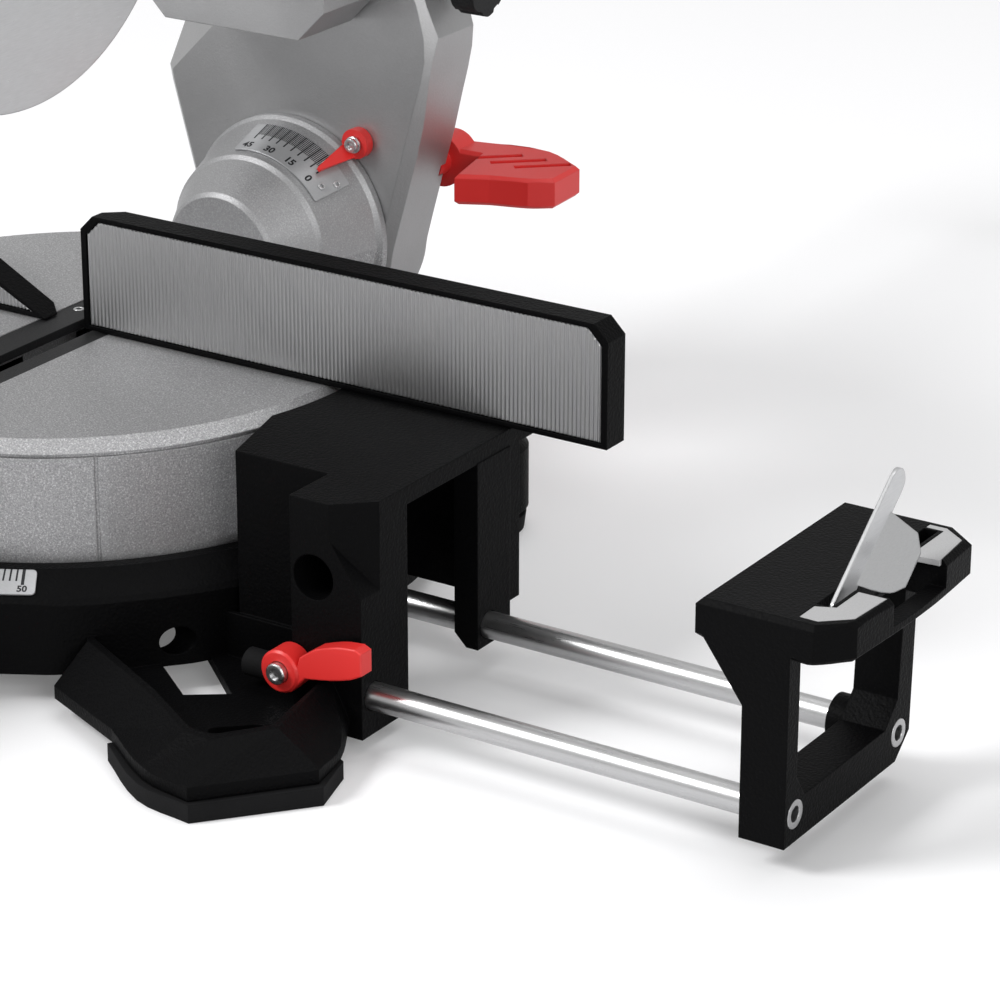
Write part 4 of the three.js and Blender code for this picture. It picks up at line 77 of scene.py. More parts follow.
# Which edges of a drawn node stand for a curved surface, with turns in degrees and areas in square metres
SOFT_TURN = 14.0  # faces that turn no more than this always do
MOULDED_TURN = 46.0  # the same for the handle, the buttons, the head's pin and the needle's screw
GUARD_TURN = 31.0  # for the lower guard
BLADE_TURN = 13.0  # for the blade
BASE_TURN = 12.0  # for the base
FOOT_TURN = 3.0  # for the base's feet
LEVER_TURN = 5.0  # for the bevel and detent levers
KEPT_TURN = 1.0  # leaves every facet as drawn
FACET_TURN = 33.0  # the widest turn between two narrow facets of one round
FACET_AREA = 0.0015  # the largest such facet
FOOT_AREA = 0.0003  # the same for the base
LEVER_AREA = 0.0002  # for the bevel and detent levers
CLAMP_AREA = 0.00004  # for the clamp levers
ROUND_REACH = 0.178  # distance from the mitre axis beyond which the base's feet have flat facets

# Limits of the copies, in metres, square metres, radians or cosines
WELD = 2e-6  # corners nearer than this are one
JOIN = 1e-7  # the same for pieces that are joined
FLAT_TURN = math.radians(0.15)  # faces that turn less are one
SAME_WAY = 0.9999  # two normals are one
UNBENT = 0.99996  # a face is as flat as its corners
TAME = 0.8  # a curve stays straight where its start would leave the chord further
BOW = 2e-5  # a control point lies off its edge
NO_LENGTH = 1e-9
NO_AREA = 1e-10
SPECK = 1e-12  # added to an area, so that the smallest face counts too
RAY_START = 0.5


def drawn(x, y, z):
    """A point given in the drawing's millimetres, in the frame."""
    return Vector((x * MM, y * MM + DRAWING_Y, z * MM))


# Sizes and colours that a user would change


def length_property(name, description, default):
    return bpy.props.FloatProperty(name=name, description=description, default=default, unit="LENGTH")


class SawSizes(bpy.types.PropertyGroup):
    """Sizes of the fine details"""

    edge_round: length_property("Edge rounding", "Radius over which light rolls round an edge", 0.0008)
    rib_pitch: length_property("Rib pitch", "Distance between the fence face's upright ribs", 0.0021)
    rib_height: length_property("Rib height", "How far a rib stands out of the fence face", 0.0009)
    tick_width: length_property("Tick width", "Width of a degree mark on the bevel scale", 0.00045)
    mark_height: length_property("Mark height", "How far printed marks stand above their plate", 0.00004)
    digit_size: length_property("Digit size", "Height of the numbers on the mitre scale", 0.0031)
    screw_radius: length_property("Screw head", "Radius of a cap screw's head at full size", 0.0036)
    socket_share: bpy.props.FloatProperty(
        name="Screw socket", description="Socket radius as a share of the screw head's", default=0.55,
        min=0, max=1, subtype="FACTOR",
    )
    tooth_tip: length_property("Tooth tip", "How far a hard tip reaches in from the blade's rim", 0.0048)
    skin_steps: bpy.props.IntProperty(
        name="Skin steps", description="Parts that each curved edge is split into", default=4, min=1, max=8
    )
    floor_size: length_property("Floor size", "Width of the studio floor", 60.0)


def colour_property(name, description, default):
    return bpy.props.FloatVectorProperty(
        name=name, description=description, default=default, subtype="COLOR", size=3, min=0, max=1
    )


class SawColours(bpy.types.PropertyGroup):
    """Colours of the finishes"""

    coat: colour_property("Black coat", "Coat of the base, fence and supports", (0.0018, 0.0018, 0.0020))
    rubber: colour_property("Rubber", "Foot soles and cable gland", (0.0050, 0.0050, 0.0054))
    dark: colour_property("Dark plastic", "Handle, motor cover and knobs", (0.0085, 0.0086, 0.0092))
    red: colour_property("Red plastic", "Levers, buttons and pointers", (0.80, 0.030, 0.027))
    silver: colour_property("Speckled silver", "Paint on the turntable", (0.340, 0.340, 0.346))
    cast: colour_property("Cast aluminium", "Castings of the tilt arm and the head", (0.50, 0.50, 0.505))
    steel: colour_property("Ground steel", "Rods, rails, bolts and screws", (0.66, 0.66, 0.665))
    sheet: colour_property("Sheet steel", "Flip stops and lower guard", (0.70, 0.705, 0.712))
    plate: colour_property("Scale plate", "Plates that carry the degree marks", (0.50, 0.505, 0.515))
    inlay: colour_property("Inlay", "Light plates on top of the support heads", (0.55, 0.55, 0.555))
    ink: colour_property("Ink", "Degree marks and numbers", (0.008, 0.008, 0.009))
    floor: colour_property("Floor", "Studio floor", (0.86, 0.86, 0.87))


def sizes():
    return bpy.context.scene.saw_sizes


def colours():
    return bpy.context.scene.saw_colours


def shade(colour, factor):
    """A colour made darker or lighter, up to white."""
    return tuple(min(1.0, factor * v) for v in colour)


# Node trees written as Python sums


class Wire:
    """An output socket that takes part in sums. Each sum adds a Math node to the socket's tree."""

    def __init__(self, graph, socket):
        self.graph = graph
        self.socket = socket

    def maths(self, operation, *values):
        return self.graph.node("ShaderNodeMath", {"operation": operation}, dict(enumerate(values)))

    def out(self, name):
        """Another output of the same node."""
        return Wire(self.graph, self.socket.node.outputs[name])

    def __add__(self, other):
        return self.maths("ADD", self, other)

    def __radd__(self, other):
        return self.maths("ADD", other, self)

    def __sub__(self, other):
        return self.maths("SUBTRACT", self, other)

    def __rsub__(self, other):
        return self.maths("SUBTRACT", other, self)

    def __mul__(self, other):
        return self.maths("MULTIPLY", self, other)

    def __rmul__(self, other):
        return self.maths("MULTIPLY", other, self)

    def __mod__(self, other):
        return self.maths("FLOORED_MODULO", self, other)

    def below(self, other):
        return self.maths("LESS_THAN", self, other)

    def above(self, other):
        return self.maths("GREATER_THAN", self, other)


class Graph:
    """A node tree, for a material or a Geometry Nodes group."""

    def __init__(self, tree):
        self.tree = tree

    def node(self, kind, settings=None, inputs=None, output=0):
        """A node of a kind. Its settings come first, then the numbers or wires of its sockets."""
        made = self.tree.nodes.new(kind)
        for key, value in (settings or {}).items():
            if key == "stops":
                ramp = made.color_ramp.elements
                while len(ramp) < len(value):
                    ramp.new(1.0)
                for element, (place, grey) in zip(ramp, value):
                    element.position = place
                    element.color = (grey, grey, grey, 1.0)
            else:
                setattr(made, key, value)
        for key, value in (inputs or {}).items():
            socket = made.inputs[key]
            if isinstance(value, Wire):
                self.tree.links.new(value.socket, socket)
            elif value is not None:
                socket.default_value = (*value, 1.0) if socket.type == "RGBA" and len(value) == 3 else value
        return None if output is None else Wire(self, made.outputs[output])

    def blend(self, share, first, second):
        """A colour between two colours. Sockets 6 and 7 and output 2 are the node's own for colours."""
        return self.node("ShaderNodeMix", {"data_type": "RGBA"}, {0: share, 6: first, 7: second}, 2)

    def stretch(self, place, factors):
        """A place scaled along each axis."""
        return self.node("ShaderNodeVectorMath", {"operation": "MULTIPLY"}, {0: place, 1: factors})

    def noise(self, place, scale, detail, rough=0.5):
        """Cloudy noise about a place."""
        values = {"Vector": place, "Scale": scale, "Detail": detail, "Roughness": rough}
        return self.node("ShaderNodeTexNoise", {}, values)

    def ramp(self, value, stops):
        """A grey that follows stops of (place, grey)."""
        return self.node("ShaderNodeValToRGB", {"stops": stops}, {0: value})


# Finishes. Each recipe takes the graph and the place on the saw, and gives what the surface varies.


def coat_recipe(g, place):
    """Textured powder coat with a fine orange peel."""
    peel = g.noise(place, scale=720, detail=3)
    cloud = g.noise(place, scale=16, detail=2)
    return {
        "Base Color": g.blend(cloud * peel, colours().coat, shade(colours().coat, 2.2)),
        "Roughness": 0.40 + peel * 0.16,
        "height": peel,
        "depth": 0.00060,
        "Specular IOR Level": 0.05,
    }


def rubber_recipe(g, place):
    """Matt rubber with a dry bloom."""
    grain = g.noise(place, scale=1300, detail=3)
    bloom = g.noise(place, scale=40, detail=3)
    return {
        "Base Color": g.blend(bloom * bloom, colours().rubber, shade(colours().rubber, 2.1)),
        "Roughness": 0.70 + grain * 0.2,
        "height": grain,
        "depth": 0.00008,
        "Specular IOR Level": 0.15,
    }


def dark_plastic_recipe(g, place):
    """Dark plastic with a fine moulded grain."""
    grain = g.node("ShaderNodeTexVoronoi", {}, {"Vector": place, "Scale": 1500.0})
    cloud = g.noise(place, scale=22, detail=2)
    return {
        "Base Color": g.blend(cloud * 0.6, colours().dark, shade(colours().dark, 1.8)),
        "Roughness": 0.46 + grain * 0.14,
        "height": grain,
        "depth": 0.00010,
        "Specular IOR Level": 0.24,
    }


def red_plastic_recipe(g, place):
    """Satin red moulding, deeper in some patches."""
    grain = g.noise(place, scale=1500, detail=2)
    cloud = g.noise(place, scale=30, detail=2)
    return {
        "Base Color": g.blend(cloud * 0.7, colours().red, shade(colours().red, 0.85)),
        "Roughness": 0.34 + grain * 0.14,
        "height": grain,
        "depth": 0.00005,
        "Coat Weight": 0.10,
        "Coat Roughness": 0.35,
    }


def silver_recipe(g, place):
    """Silver-grey paint speckled with bright and dark flakes, which are fewer above the table."""
    flake = g.noise(place, scale=1350, detail=2, rough=0.7)
    cloud = g.noise(place, scale=11, detail=2)
    height = g.node("ShaderNodeSeparateXYZ", {}, {0: place}, "Z")
    share = 1 - height.above(TABLE_TOP) * 0.6
    bright = g.ramp(flake, [(0.54, 0.0), (0.68, 1.0)]) * share
    dim = g.ramp(flake, [(0.30, 1.0), (0.46, 0.0)]) * share
    body = g.blend(cloud * 0.5, colours().silver, shade(colours().silver, 1.2))
    speckled = g.blend(bright * 0.62, body, shade(colours().silver, 2.3))
    return {
        "Base Color": g.blend(dim * 0.58, speckled, shade(colours().silver, 0.42)),
        "Roughness": 0.46 - bright * 0.12,
        "Metallic": 0.60,
        "height": flake,
        "depth": 0.00022,
    }


def cast_recipe(g, place):
    """Blasted aluminium casting with a fine, slightly uneven grain."""
    grain = g.noise(place, scale=950, detail=3, rough=0.65)
    cloud = g.noise(place, scale=24, detail=3)
    return {
        "Base Color": g.blend(cloud * 0.8 + grain * 0.3, colours().cast, shade(colours().cast, 0.74)),
        "Roughness": 0.38 + grain * 0.16,
        "Metallic": 0.80,
        "height": grain,
        "depth": 0.00022,
    }


def streaked(g, place, factors, colour, low, high):
    """Metal with fine grinding marks, which run where the factors are small."""
    streak = g.noise(g.stretch(place, factors), scale=1.0, detail=3, rough=0.6)
    cloud = g.noise(place, scale=18, detail=2)
    return {
        "Base Color": g.blend(streak * 0.6 + cloud * 0.2, colour, shade(colour, 0.72)),
        "Roughness": low + streak * (high - low),
        "Metallic": 1.0,
        "height": streak,
        "depth": 0.000012,
    }


def steel_recipe(g, place):
    """Bright ground steel, with marks along the saw's width."""
    return streaked(g, place, (70.0, 2600.0, 2600.0), colours().steel, low=0.20, high=0.40)


def rail_recipe(g, place):
    """Bright ground steel, with marks along the slide."""
    return streaked(g, place, (2400.0, 50.0, 2400.0), colours().steel, low=0.12, high=0.28)


def face_recipe(g, place):
    """Milled aluminium of the fence faces, with upright marks."""
    return streaked(g, place, (2600.0, 900.0, 90.0), shade(colours().steel, 0.80), low=0.30, high=0.46)


def blade_recipe(g, place):
    """Blade steel with round grinding marks about the arbor."""
    centred = g.node("ShaderNodeMapping", {}, {"Vector": place, "Location": -middle("saw_blade")})
    reach = g.node("ShaderNodeVectorMath", {"operation": "LENGTH"}, {0: centred}, "Value")
    ring = g.node(
        "ShaderNodeTexNoise", {"noise_dimensions": "1D"}, {"W": reach, "Scale": 2600.0, "Detail": 3.0}
    )
    return {
        "Base Color": g.blend(ring * 0.7, colours().steel, shade(colours().steel, 0.62)),
        "Roughness": 0.16 + ring * 0.16,
        "Metallic": 1.0,
        "height": ring,
        "depth": 0.00002,
    }


def sheet_recipe(g, place):
    """Brushed zinc sheet."""
    return streaked(g, place, (1800.0, 140.0, 1800.0), colours().sheet, low=0.22, high=0.40)


def plate_recipe(g, place):
    """Satin scale plate."""
    metal = streaked(g, place, (160.0, 1500.0, 1500.0), colours().plate, low=0.30, high=0.44)
    return {**metal, "Metallic": 0.55}


def inlay_recipe(g, place):
    """Light bead-blasted plate with a fine sparkle."""
    grain = g.noise(place, scale=1900, detail=2, rough=0.7)
    return {
        "Base Color": g.blend(grain * 0.9, colours().inlay, shade(colours().inlay, 0.66)),
        "Roughness": 0.42 + grain * 0.2,
        "Metallic": 0.25,
        "height": grain,
        "depth": 0.00005,
    }


def ink_recipe(g, place):
    """Printed marks, slightly worn."""
    wear = g.noise(place, scale=800, detail=2)
    return {
        "Base Color": g.blend(wear * 0.5, colours().ink, shade(colours().ink, 4)),
        "Roughness": 0.45 + wear * 0.2,
        "Specular IOR Level": 0.3,
    }


def tip_recipe(g, place):
    """Ground hard metal of the teeth's tips."""
    grain = g.noise(place, scale=2400, detail=2)
    return {
        "Base Color": g.blend(grain, shade(colours().steel, 0.45), shade(colours().steel, 0.6)),
        "Roughness": 0.20 + grain * 0.12,
        "Metallic": 1.0,
        "height": grain,
        "depth": 0.00001,
    }


def floor_recipe(g, place):
    """Plain pale floor with a hardly visible mottle, a little brighter to the camera."""
    cloud = g.noise(place, scale=2.0, detail=2)
    return {
        "Base Color": g.blend(cloud * 0.3, colours().floor, shade(colours().floor, 0.985)),
        "Roughness": 0.75 + cloud * 0.1,
        "Specular IOR Level": 0.1,
        "Emission Color": g.blend(g.node("ShaderNodeLightPath"), (0.0, 0.0, 0.0), (0.15, 0.15, 0.15)),
        "Emission Strength": 1.0,
    }


FINISHES = {
    "black_coat": coat_recipe,
    "rubber": rubber_recipe,
    "dark_plastic": dark_plastic_recipe,
    "red_plastic": red_plastic_recipe,
    "cast_silver": silver_recipe,
    "satin_cast": cast_recipe,
    "steel": steel_recipe,
    "rail_steel": rail_recipe,
    "face_metal": face_recipe,
    "blade_steel": blade_recipe,
    "sheet_steel": sheet_recipe,
    "scale_plate": plate_recipe,
    "inlay_grey": inlay_recipe,
    "ink": ink_recipe,
    "tooth_tip": tip_recipe,
    "studio_floor": floor_recipe,
}
SHARP_FINISHES = ("ink", "studio_floor")


def finish(name):
    """The material of a finish, made the first time that it is asked for."""
    own_name = name + "_finish"
    if own_name in bpy.data.materials:
        return bpy.data.materials[own_name]
    material = bpy.data.materials.new(own_name)
    material.use_nodes = True
    material.node_tree.nodes.clear()
    g = Graph(material.node_tree)
    place = g.node("ShaderNodeTexCoord", {}, {}, "Object")
    values = FINISHES[name](g, place)
    height, depth = values.pop("height", None), values.pop("depth", 0.0)
    edge = None
    if name not in SHARP_FINISHES:
        edge = g.node("ShaderNodeBevel", {"samples": 4}, {"Radius": sizes().edge_round})
        values["Normal"] = edge
    if height is not None:
        values["Normal"] = g.node(
            "ShaderNodeBump", {}, {"Strength": 0.6, "Distance": depth, "Height": height, "Normal": edge}
        )
    shader = g.node("ShaderNodeBsdfPrincipled", {}, values)
    g.node("ShaderNodeOutputMaterial", {}, {"Surface": shader}, None)
    return material


# Rounding: a CAD node's copy gets curved edges and faces in place of its facets


class Softness:
    """Which edges of a node stand for one curved surface rather than for a corner."""

    def __init__(self, degrees, area, reach):
        self.turn = math.radians(degrees)
        self.area = area
        self.reach = reach

    def covers(self, edge):
        """True where two faces turn little, or where they are narrow and much alike."""
        if len(edge.link_faces) != 2:
            return False
        centre = (edge.verts[0].co + edge.verts[1].co) / 2
        far = math.hypot(centre.x, centre.y - DRAWING_Y) > self.reach
        angle = edge.calc_face_angle()
        if angle <= (math.radians(FOOT_TURN) if far else self.turn):
            return True
        small, large = sorted(face.calc_area() for face in edge.link_faces)
        return angle <= math.radians(FACET_TURN) and large < self.area and small > large / 2


def corner_normals(bm, softness):
    """Each face corner's normal, shared with the faces that it meets softly. Large faces win."""
    soft = {edge for edge in bm.edges if softness.covers(edge)}
    normals = {}
    for vert in bm.verts:
        left = set(vert.link_faces)
        while left:
            group, queue = [], [left.pop()]
            while queue:
                face = queue.pop()
                group.append(face)
                for edge in face.edges:
                    if vert not in edge.verts or edge not in soft:
                        continue
                    for other in edge.link_faces:
                        if other in left:
                            left.remove(other)
                            queue.append(other)
            total = sum((face.normal * (face.calc_area() + SPECK) ** 2 for face in group), Vector())
            for face in group:
                normals[face.index, vert.index] = total.normalized()
    return normals


def leaving(start, chord, first, second):
    """Where an edge's curve is headed as it leaves its start, between two faces' normals there."""
    if first.dot(second) > SAME_WAY:
        way = chord - first * chord.dot(first)
    else:
        way = first.cross(second)
        way *= 1 if way.dot(chord) > 0 else -1
    cosine = way.normalized().dot(chord.normalized())
    if way.length < NO_LENGTH or cosine < TAME:
        return start + chord / 3
    return start + way.normalized() * (chord.length * 2 / 3 / (1 + cosine))


def edge_controls(bm, normals):
    """The two inner control points of each edge's curve."""
    controls = {}
    for edge in bm.edges:
        a, b = edge.verts
        chord = b.co - a.co
        faces = edge.link_faces
        at_a = [normals[f.index, a.index] for f in faces]
        at_b = [normals[f.index, b.index] for f in faces]
        controls[edge.index] = (
            leaving(a.co, chord, at_a[0], at_a[-1]),
            leaving(b.co, -chord, at_b[0], at_b[-1]),
        )
    return controls


def bows(edge, controls):
    """True if an edge's control points lie off its chord, so that its curve does too."""
    a, b = (v.co for v in edge.verts)
    inner = controls[edge.index]
    return max((inner[0] - a.lerp(b, 1 / 3)).length, (inner[1] - a.lerp(b, 2 / 3)).length) > BOW


def edge_steps(bm, controls, curved, steps):
    """How many parts each edge is split into, so that curved faces can be filled by a grid."""
    count = {e.index: steps if bows(e, controls) else 1 for e in bm.edges}
    changed = True
    while changed:
        changed = False
        for face in curved:
            edges = [loop.edge.index for loop in face.loops]
            pairs = [(0, 2), (1, 3)] if len(edges) == 4 else [(0, 1, 2)]
            for pair in pairs:
                most = max(count[edges[i]] for i in pair) if len(edges) == 4 else steps
                for i in pair:
                    if count[edges[i]] != most:
                        count[edges[i]] = most
                        changed = True
    return count


def on_curve(points, share):
    """A point on a curve of four control points."""
    a, b, c, d = points
    rest = 1 - share
    return a * rest**3 + b * (3 * rest * rest * share) + c * (3 * rest * share * share) + d * share**3


class Skin:
    """The vertices, faces and corner normals of a rounded copy."""

    def __init__(self, bm, softness, steps):
        bm.verts.index_update()
        bm.edges.index_update()
        bm.faces.index_update()
        self.normals = corner_normals(bm, softness)
        self.controls = edge_controls(bm, self.normals)
        self.curved = [f for f in bm.faces if len(f.verts) < 5 and not self.is_flat(f)]
        self.count = edge_steps(bm, self.controls, self.curved, steps)
        self.points = [v.co.copy() for v in bm.verts]
        self.along = {e.index: self.split(e) for e in bm.edges}
        self.faces = []
        self.face_normals = []
        curved = set(self.curved)
        for face in bm.faces:
            if face not in curved:
                self.fill_flat(face)
            elif len(face.verts) == 4:
                self.fill_quad(face)
            else:
                self.fill_triangle(face)

    def is_flat(self, face):
        if face.calc_area() < NO_AREA:
            return True
        return all(self.normals[face.index, v.index].dot(face.normal) > UNBENT for v in face.verts)

    def split(self, edge):
        """Indices of the points along an edge, from its first vertex to its second."""
        a, b = edge.verts
        inner = self.controls[edge.index]
        parts = self.count[edge.index]
        row = [a.index]
        for i in range(1, parts):
            self.points.append(on_curve((a.co, *inner, b.co), i / parts))
            row.append(len(self.points) - 1)
        return row + [b.index]

    def side(self, loop):
        """An edge's points in the direction of a face's loop."""
        row = self.along[loop.edge.index]
        return row if loop.edge.verts[0] == loop.vert else row[::-1]

    def corner(self, face, vert):
        return self.normals[face.index, vert.index]

    def put(self, indices, normals):
        """One face, without the points that fall together."""
        if len(set(indices)) > 2:
            self.faces.append(indices)
            self.face_normals.extend(normals)

    def fill_flat(self, face):
        indices, normals = [], []
        flat = self.is_flat(face)
        for loop in face.loops:
            row = self.side(loop)[:-1]
            start, end = self.corner(face, loop.vert), self.corner(face, loop.link_loop_next.vert)
            indices += row
            normals += [face.normal if flat else start.lerp(end, i / len(row)) for i in range(len(row))]
        self.put(indices, normals)

    def fill_quad(self, face):
        loops = list(face.loops)
        low, right = self.side(loops[0]), self.side(loops[1])
        high, left = self.side(loops[2])[::-1], self.side(loops[3])[::-1]
        across, up = len(low) - 1, len(right) - 1
        p = self.points
        n = [self.corner(face, loop.vert) for loop in loops]
        corners = [p[loop.vert.index] for loop in loops]
        grid, shading = {}, {}
        for i in range(across + 1):
            for j in range(up + 1):
                u, v = i / across, j / up
                shading[i, j] = n[0].lerp(n[1], u).lerp(n[3].lerp(n[2], u), v)
                if j in (0, up):
                    grid[i, j] = (low if j == 0 else high)[i]
                elif i in (0, across):
                    grid[i, j] = (left if i == 0 else right)[j]
                else:
                    ruled = p[low[i]].lerp(p[high[i]], v) + p[left[j]].lerp(p[right[j]], u)
                    p.append(ruled - corners[0].lerp(corners[1], u).lerp(corners[3].lerp(corners[2], u), v))
                    grid[i, j] = len(p) - 1
        for i in range(across):
            for j in range(up):
                ring = [(i, j), (i + 1, j), (i + 1, j + 1), (i, j + 1)]
                self.put([grid[k] for k in ring], [shading[k] for k in ring])

    def bezier_net(self, face):
        """The ten control points of a curved triangle."""
        net = {}
        loops = list(face.loops)
        places = [(3, 0, 0), (0, 3, 0), (0, 0, 3)]
        for k, loop in enumerate(loops):
            net[places[k]] = self.points[loop.vert.index]
            inner = self.controls[loop.edge.index]
            if loop.edge.verts[0] != loop.vert:
                inner = inner[::-1]
            start, end = places[k], places[(k + 1) % 3]
            for share in (1, 2):
                key = tuple((s * (3 - share) + e * share) // 3 for s, e in zip(start, end))
                net[key] = inner[share - 1]
        edge_mean = sum((v for key, v in net.items() if 3 not in key), Vector()) / 6
        vert_mean = sum((net[key] for key in places), Vector()) / 3
        net[1, 1, 1] = edge_mean * 1.5 - vert_mean * 0.5
        return net

    def fill_triangle(self, face):
        loops = list(face.loops)
        rows = [self.side(loop) for loop in loops]
        steps = len(rows[0]) - 1
        n = [self.corner(face, loop.vert) for loop in loops]
        net = self.bezier_net(face)
        grid, shading = {}, {}
        for i in range(steps + 1):
            for j in range(steps + 1 - i):
                k = steps - i - j
                a, b, c = k / steps, i / steps, j / steps
                shading[i, j] = n[0] * a + n[1] * b + n[2] * c
                if j == 0:
                    grid[i, j] = rows[0][i]
                elif k == 0:
                    grid[i, j] = rows[1][j]
                elif i == 0:
                    grid[i, j] = rows[2][steps - j]
                else:
                    self.points.append(bezier_point(net, a, b, c))
                    grid[i, j] = len(self.points) - 1
        for i in range(steps):
            for j in range(steps - i):
                rings = [[(i, j), (i + 1, j), (i, j + 1)]]
                if i + j < steps - 1:
                    rings.append([(i + 1, j), (i + 1, j + 1), (i, j + 1)])
                for ring in rings:
                    self.put([grid[k] for k in ring], [shading[k] for k in ring])

    def mesh(self, name):
        made = bpy.data.meshes.new(name)
        made.from_pydata([tuple(p) for p in self.points], [], self.faces)
        made.shade_smooth()
        made.normals_split_custom_set([tuple(n.normalized()) for n in self.face_normals])
        return made


def bezier_point(net, a, b, c):
    """A point on a curved triangle, from its control points and three shares."""
    total = Vector()
    for (i, j, k), point in net.items():
        weight = 6 / (math.factorial(i) * math.factorial(j) * math.factorial(k))
        total += point * (weight * a**i * b**j * c**k)
    return total


def copied(node):
    """A node's surface, with its loose triangles joined and its flats whole."""
    bm = bmesh.new()
    bm.from_mesh(NODES[node].data)
    bmesh.ops.remove_doubles(bm, verts=bm.verts, dist=WELD)
    bmesh.ops.dissolve_limit(
        bm, angle_limit=FLAT_TURN, use_dissolve_boundaries=False, verts=bm.verts, edges=bm.edges
    )
    bm.normal_update()
    return bm


def split_bent(bm, softness):
    """Curved faces of more than four corners become triangles."""
    bm.verts.index_update()
    bm.faces.index_update()
    normals = corner_normals(bm, softness)
    bent = [
        f
        for f in bm.faces
        if len(f.verts) > 4 and any(normals[f.index, v.index].dot(f.normal) < SAME_WAY for v in f.verts)
    ]
    if bent:
        bmesh.ops.triangulate(bm, faces=bent)
        bm.normal_update()


def placed(name, mesh, body, slot, finish_name, replaced=()):
    """A finished piece that rides on a body and stands for the nodes it replaces."""
    piece = bpy.data.objects.new(name, mesh)
    bpy.context.scene.collection.objects.link(piece)
    mesh.materials.clear()
    mesh.materials.append(finish(finish_name))
    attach(piece, body)
    if replaced:
        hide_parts(*replaced)
    return piece


def rounded(node, degrees=SOFT_TURN, finish_name=None, area=FACET_AREA, reach=math.inf):
    """A node's copy with curved faces in place of facets, in its finish."""
    softness = Softness(degrees, area, reach)
    bm = copied(node)
    split_bent(bm, softness)
    mesh = Skin(bm, softness, sizes().skin_steps).mesh(node + "_surface")
    bm.free()
    slot = SLOT_OF[node]
    return placed(node + "_surface", mesh, BODY_OF[node], slot, finish_name or slot, [node])


# Geometry Nodes trees


def new_tree(name, inputs):
    """An empty tree with named number inputs, its graph and its input node."""
    tree = bpy.data.node_groups.new(name, "GeometryNodeTree")
    tree.interface.new_socket("Geometry", in_out="INPUT", socket_type="NodeSocketGeometry")
    for key in inputs:
        tree.interface.new_socket(key, in_out="INPUT", socket_type="NodeSocketFloat")
    tree.interface.new_socket("Geometry", in_out="OUTPUT", socket_type="NodeSocketGeometry")
    g = Graph(tree)
    return g, g.node("NodeGroupInput")


def close_tree(g, geometry, finish_name):
    """Ends a tree in real geometry with its finish."""
    whole = g.node("GeometryNodeRealizeInstances", {}, {"Geometry": geometry})
    dressed = g.node("GeometryNodeSetMaterial", {}, {"Geometry": whole, "Material": finish(finish_name)})
    g.node("NodeGroupOutput", {}, {"Geometry": dressed}, None)
    return g.tree


def combine(g, x, y, z):
    return g.node("ShaderNodeCombineXYZ", {}, {"X": x, "Y": y, "Z": z})


def attribute(g, name):
    """A named vector of the points."""
    return g.node("GeometryNodeInputNamedAttribute", {"data_type": "FLOAT_VECTOR"}, {"Name": name})


def grown(name, tree, inputs, points, attributes=None):
    """The plain mesh that a tree makes from points with named vectors."""
    source = bpy.data.meshes.new(name)
    source.from_pydata([tuple(p) for p in points], [], [])
    for key, vectors in (attributes or {}).items():
        layer = source.attributes.new(key, "FLOAT_VECTOR", "POINT")
        layer.data.foreach_set("vector", np.array(vectors, np.float32).ravel())
    maker = bpy.data.objects.new(name, source)
    bpy.context.scene.collection.objects.link(maker)
    modifier = maker.modifiers.new(name, "NODES")
    modifier.node_group = tree
    sockets = {s.name: s.identifier for s in tree.interface.items_tree if s.in_out == "INPUT"}
    for key, value in inputs.items():
        modifier[sockets[key]] = value
    mesh = bpy.data.meshes.new_from_object(maker.evaluated_get(bpy.context.evaluated_depsgraph_get()))
    mesh.name = name
    bpy.data.objects.remove(maker)
    if not mesh.polygons:
        raise RuntimeError(f"{name} came out empty")
    return mesh


def in_place(mesh, matrix):
    """The mesh with its place applied."""
    mesh.transform(matrix)
    mesh.update()
    return mesh


def screw_tree():
    """Round heads with a chamfered rim and a round socket, on points that have an aim and a size."""
    g, given = new_tree("cap_screws", ["Head Radius", "Socket Share"])
    radius = given.out("Head Radius")
    head = g.node(
        "GeometryNodeMeshCylinder", {}, {"Vertices": 24, "Radius": radius, "Depth": radius * 1.1}, "Mesh"
    )
    # Each step pushes the top out by a share of the radius, and then scales it.
    mesh, top = head, head.out("Top")
    chamfer, rim, socket = (0.12, 0.90), (0.0, given.out("Socket Share")), (-0.9, 0.94)
    for rise, share in (chamfer, rim, socket):
        extruded = g.node(
            "GeometryNodeExtrudeMesh", {"mode": "FACES"},
            {"Mesh": mesh, "Selection": top, "Offset Scale": radius * rise}, "Mesh",
        )
        top = extruded.out("Top")
        mesh = g.node(
            "GeometryNodeScaleElements", {}, {"Geometry": extruded, "Selection": top, "Scale": share}
        )
    aim = g.node("FunctionNodeAlignRotationToVector", {"axis": "Z"}, {"Vector": attribute(g, "aim")})
    heads = g.node(
        "GeometryNodeInstanceOnPoints", {},
        {
            "Points": given.out("Geometry"),
            "Instance": mesh,
            "Rotation": aim,
            "Scale": attribute(g, "size"),
        },
    )
    return close_tree(g, heads, "steel")


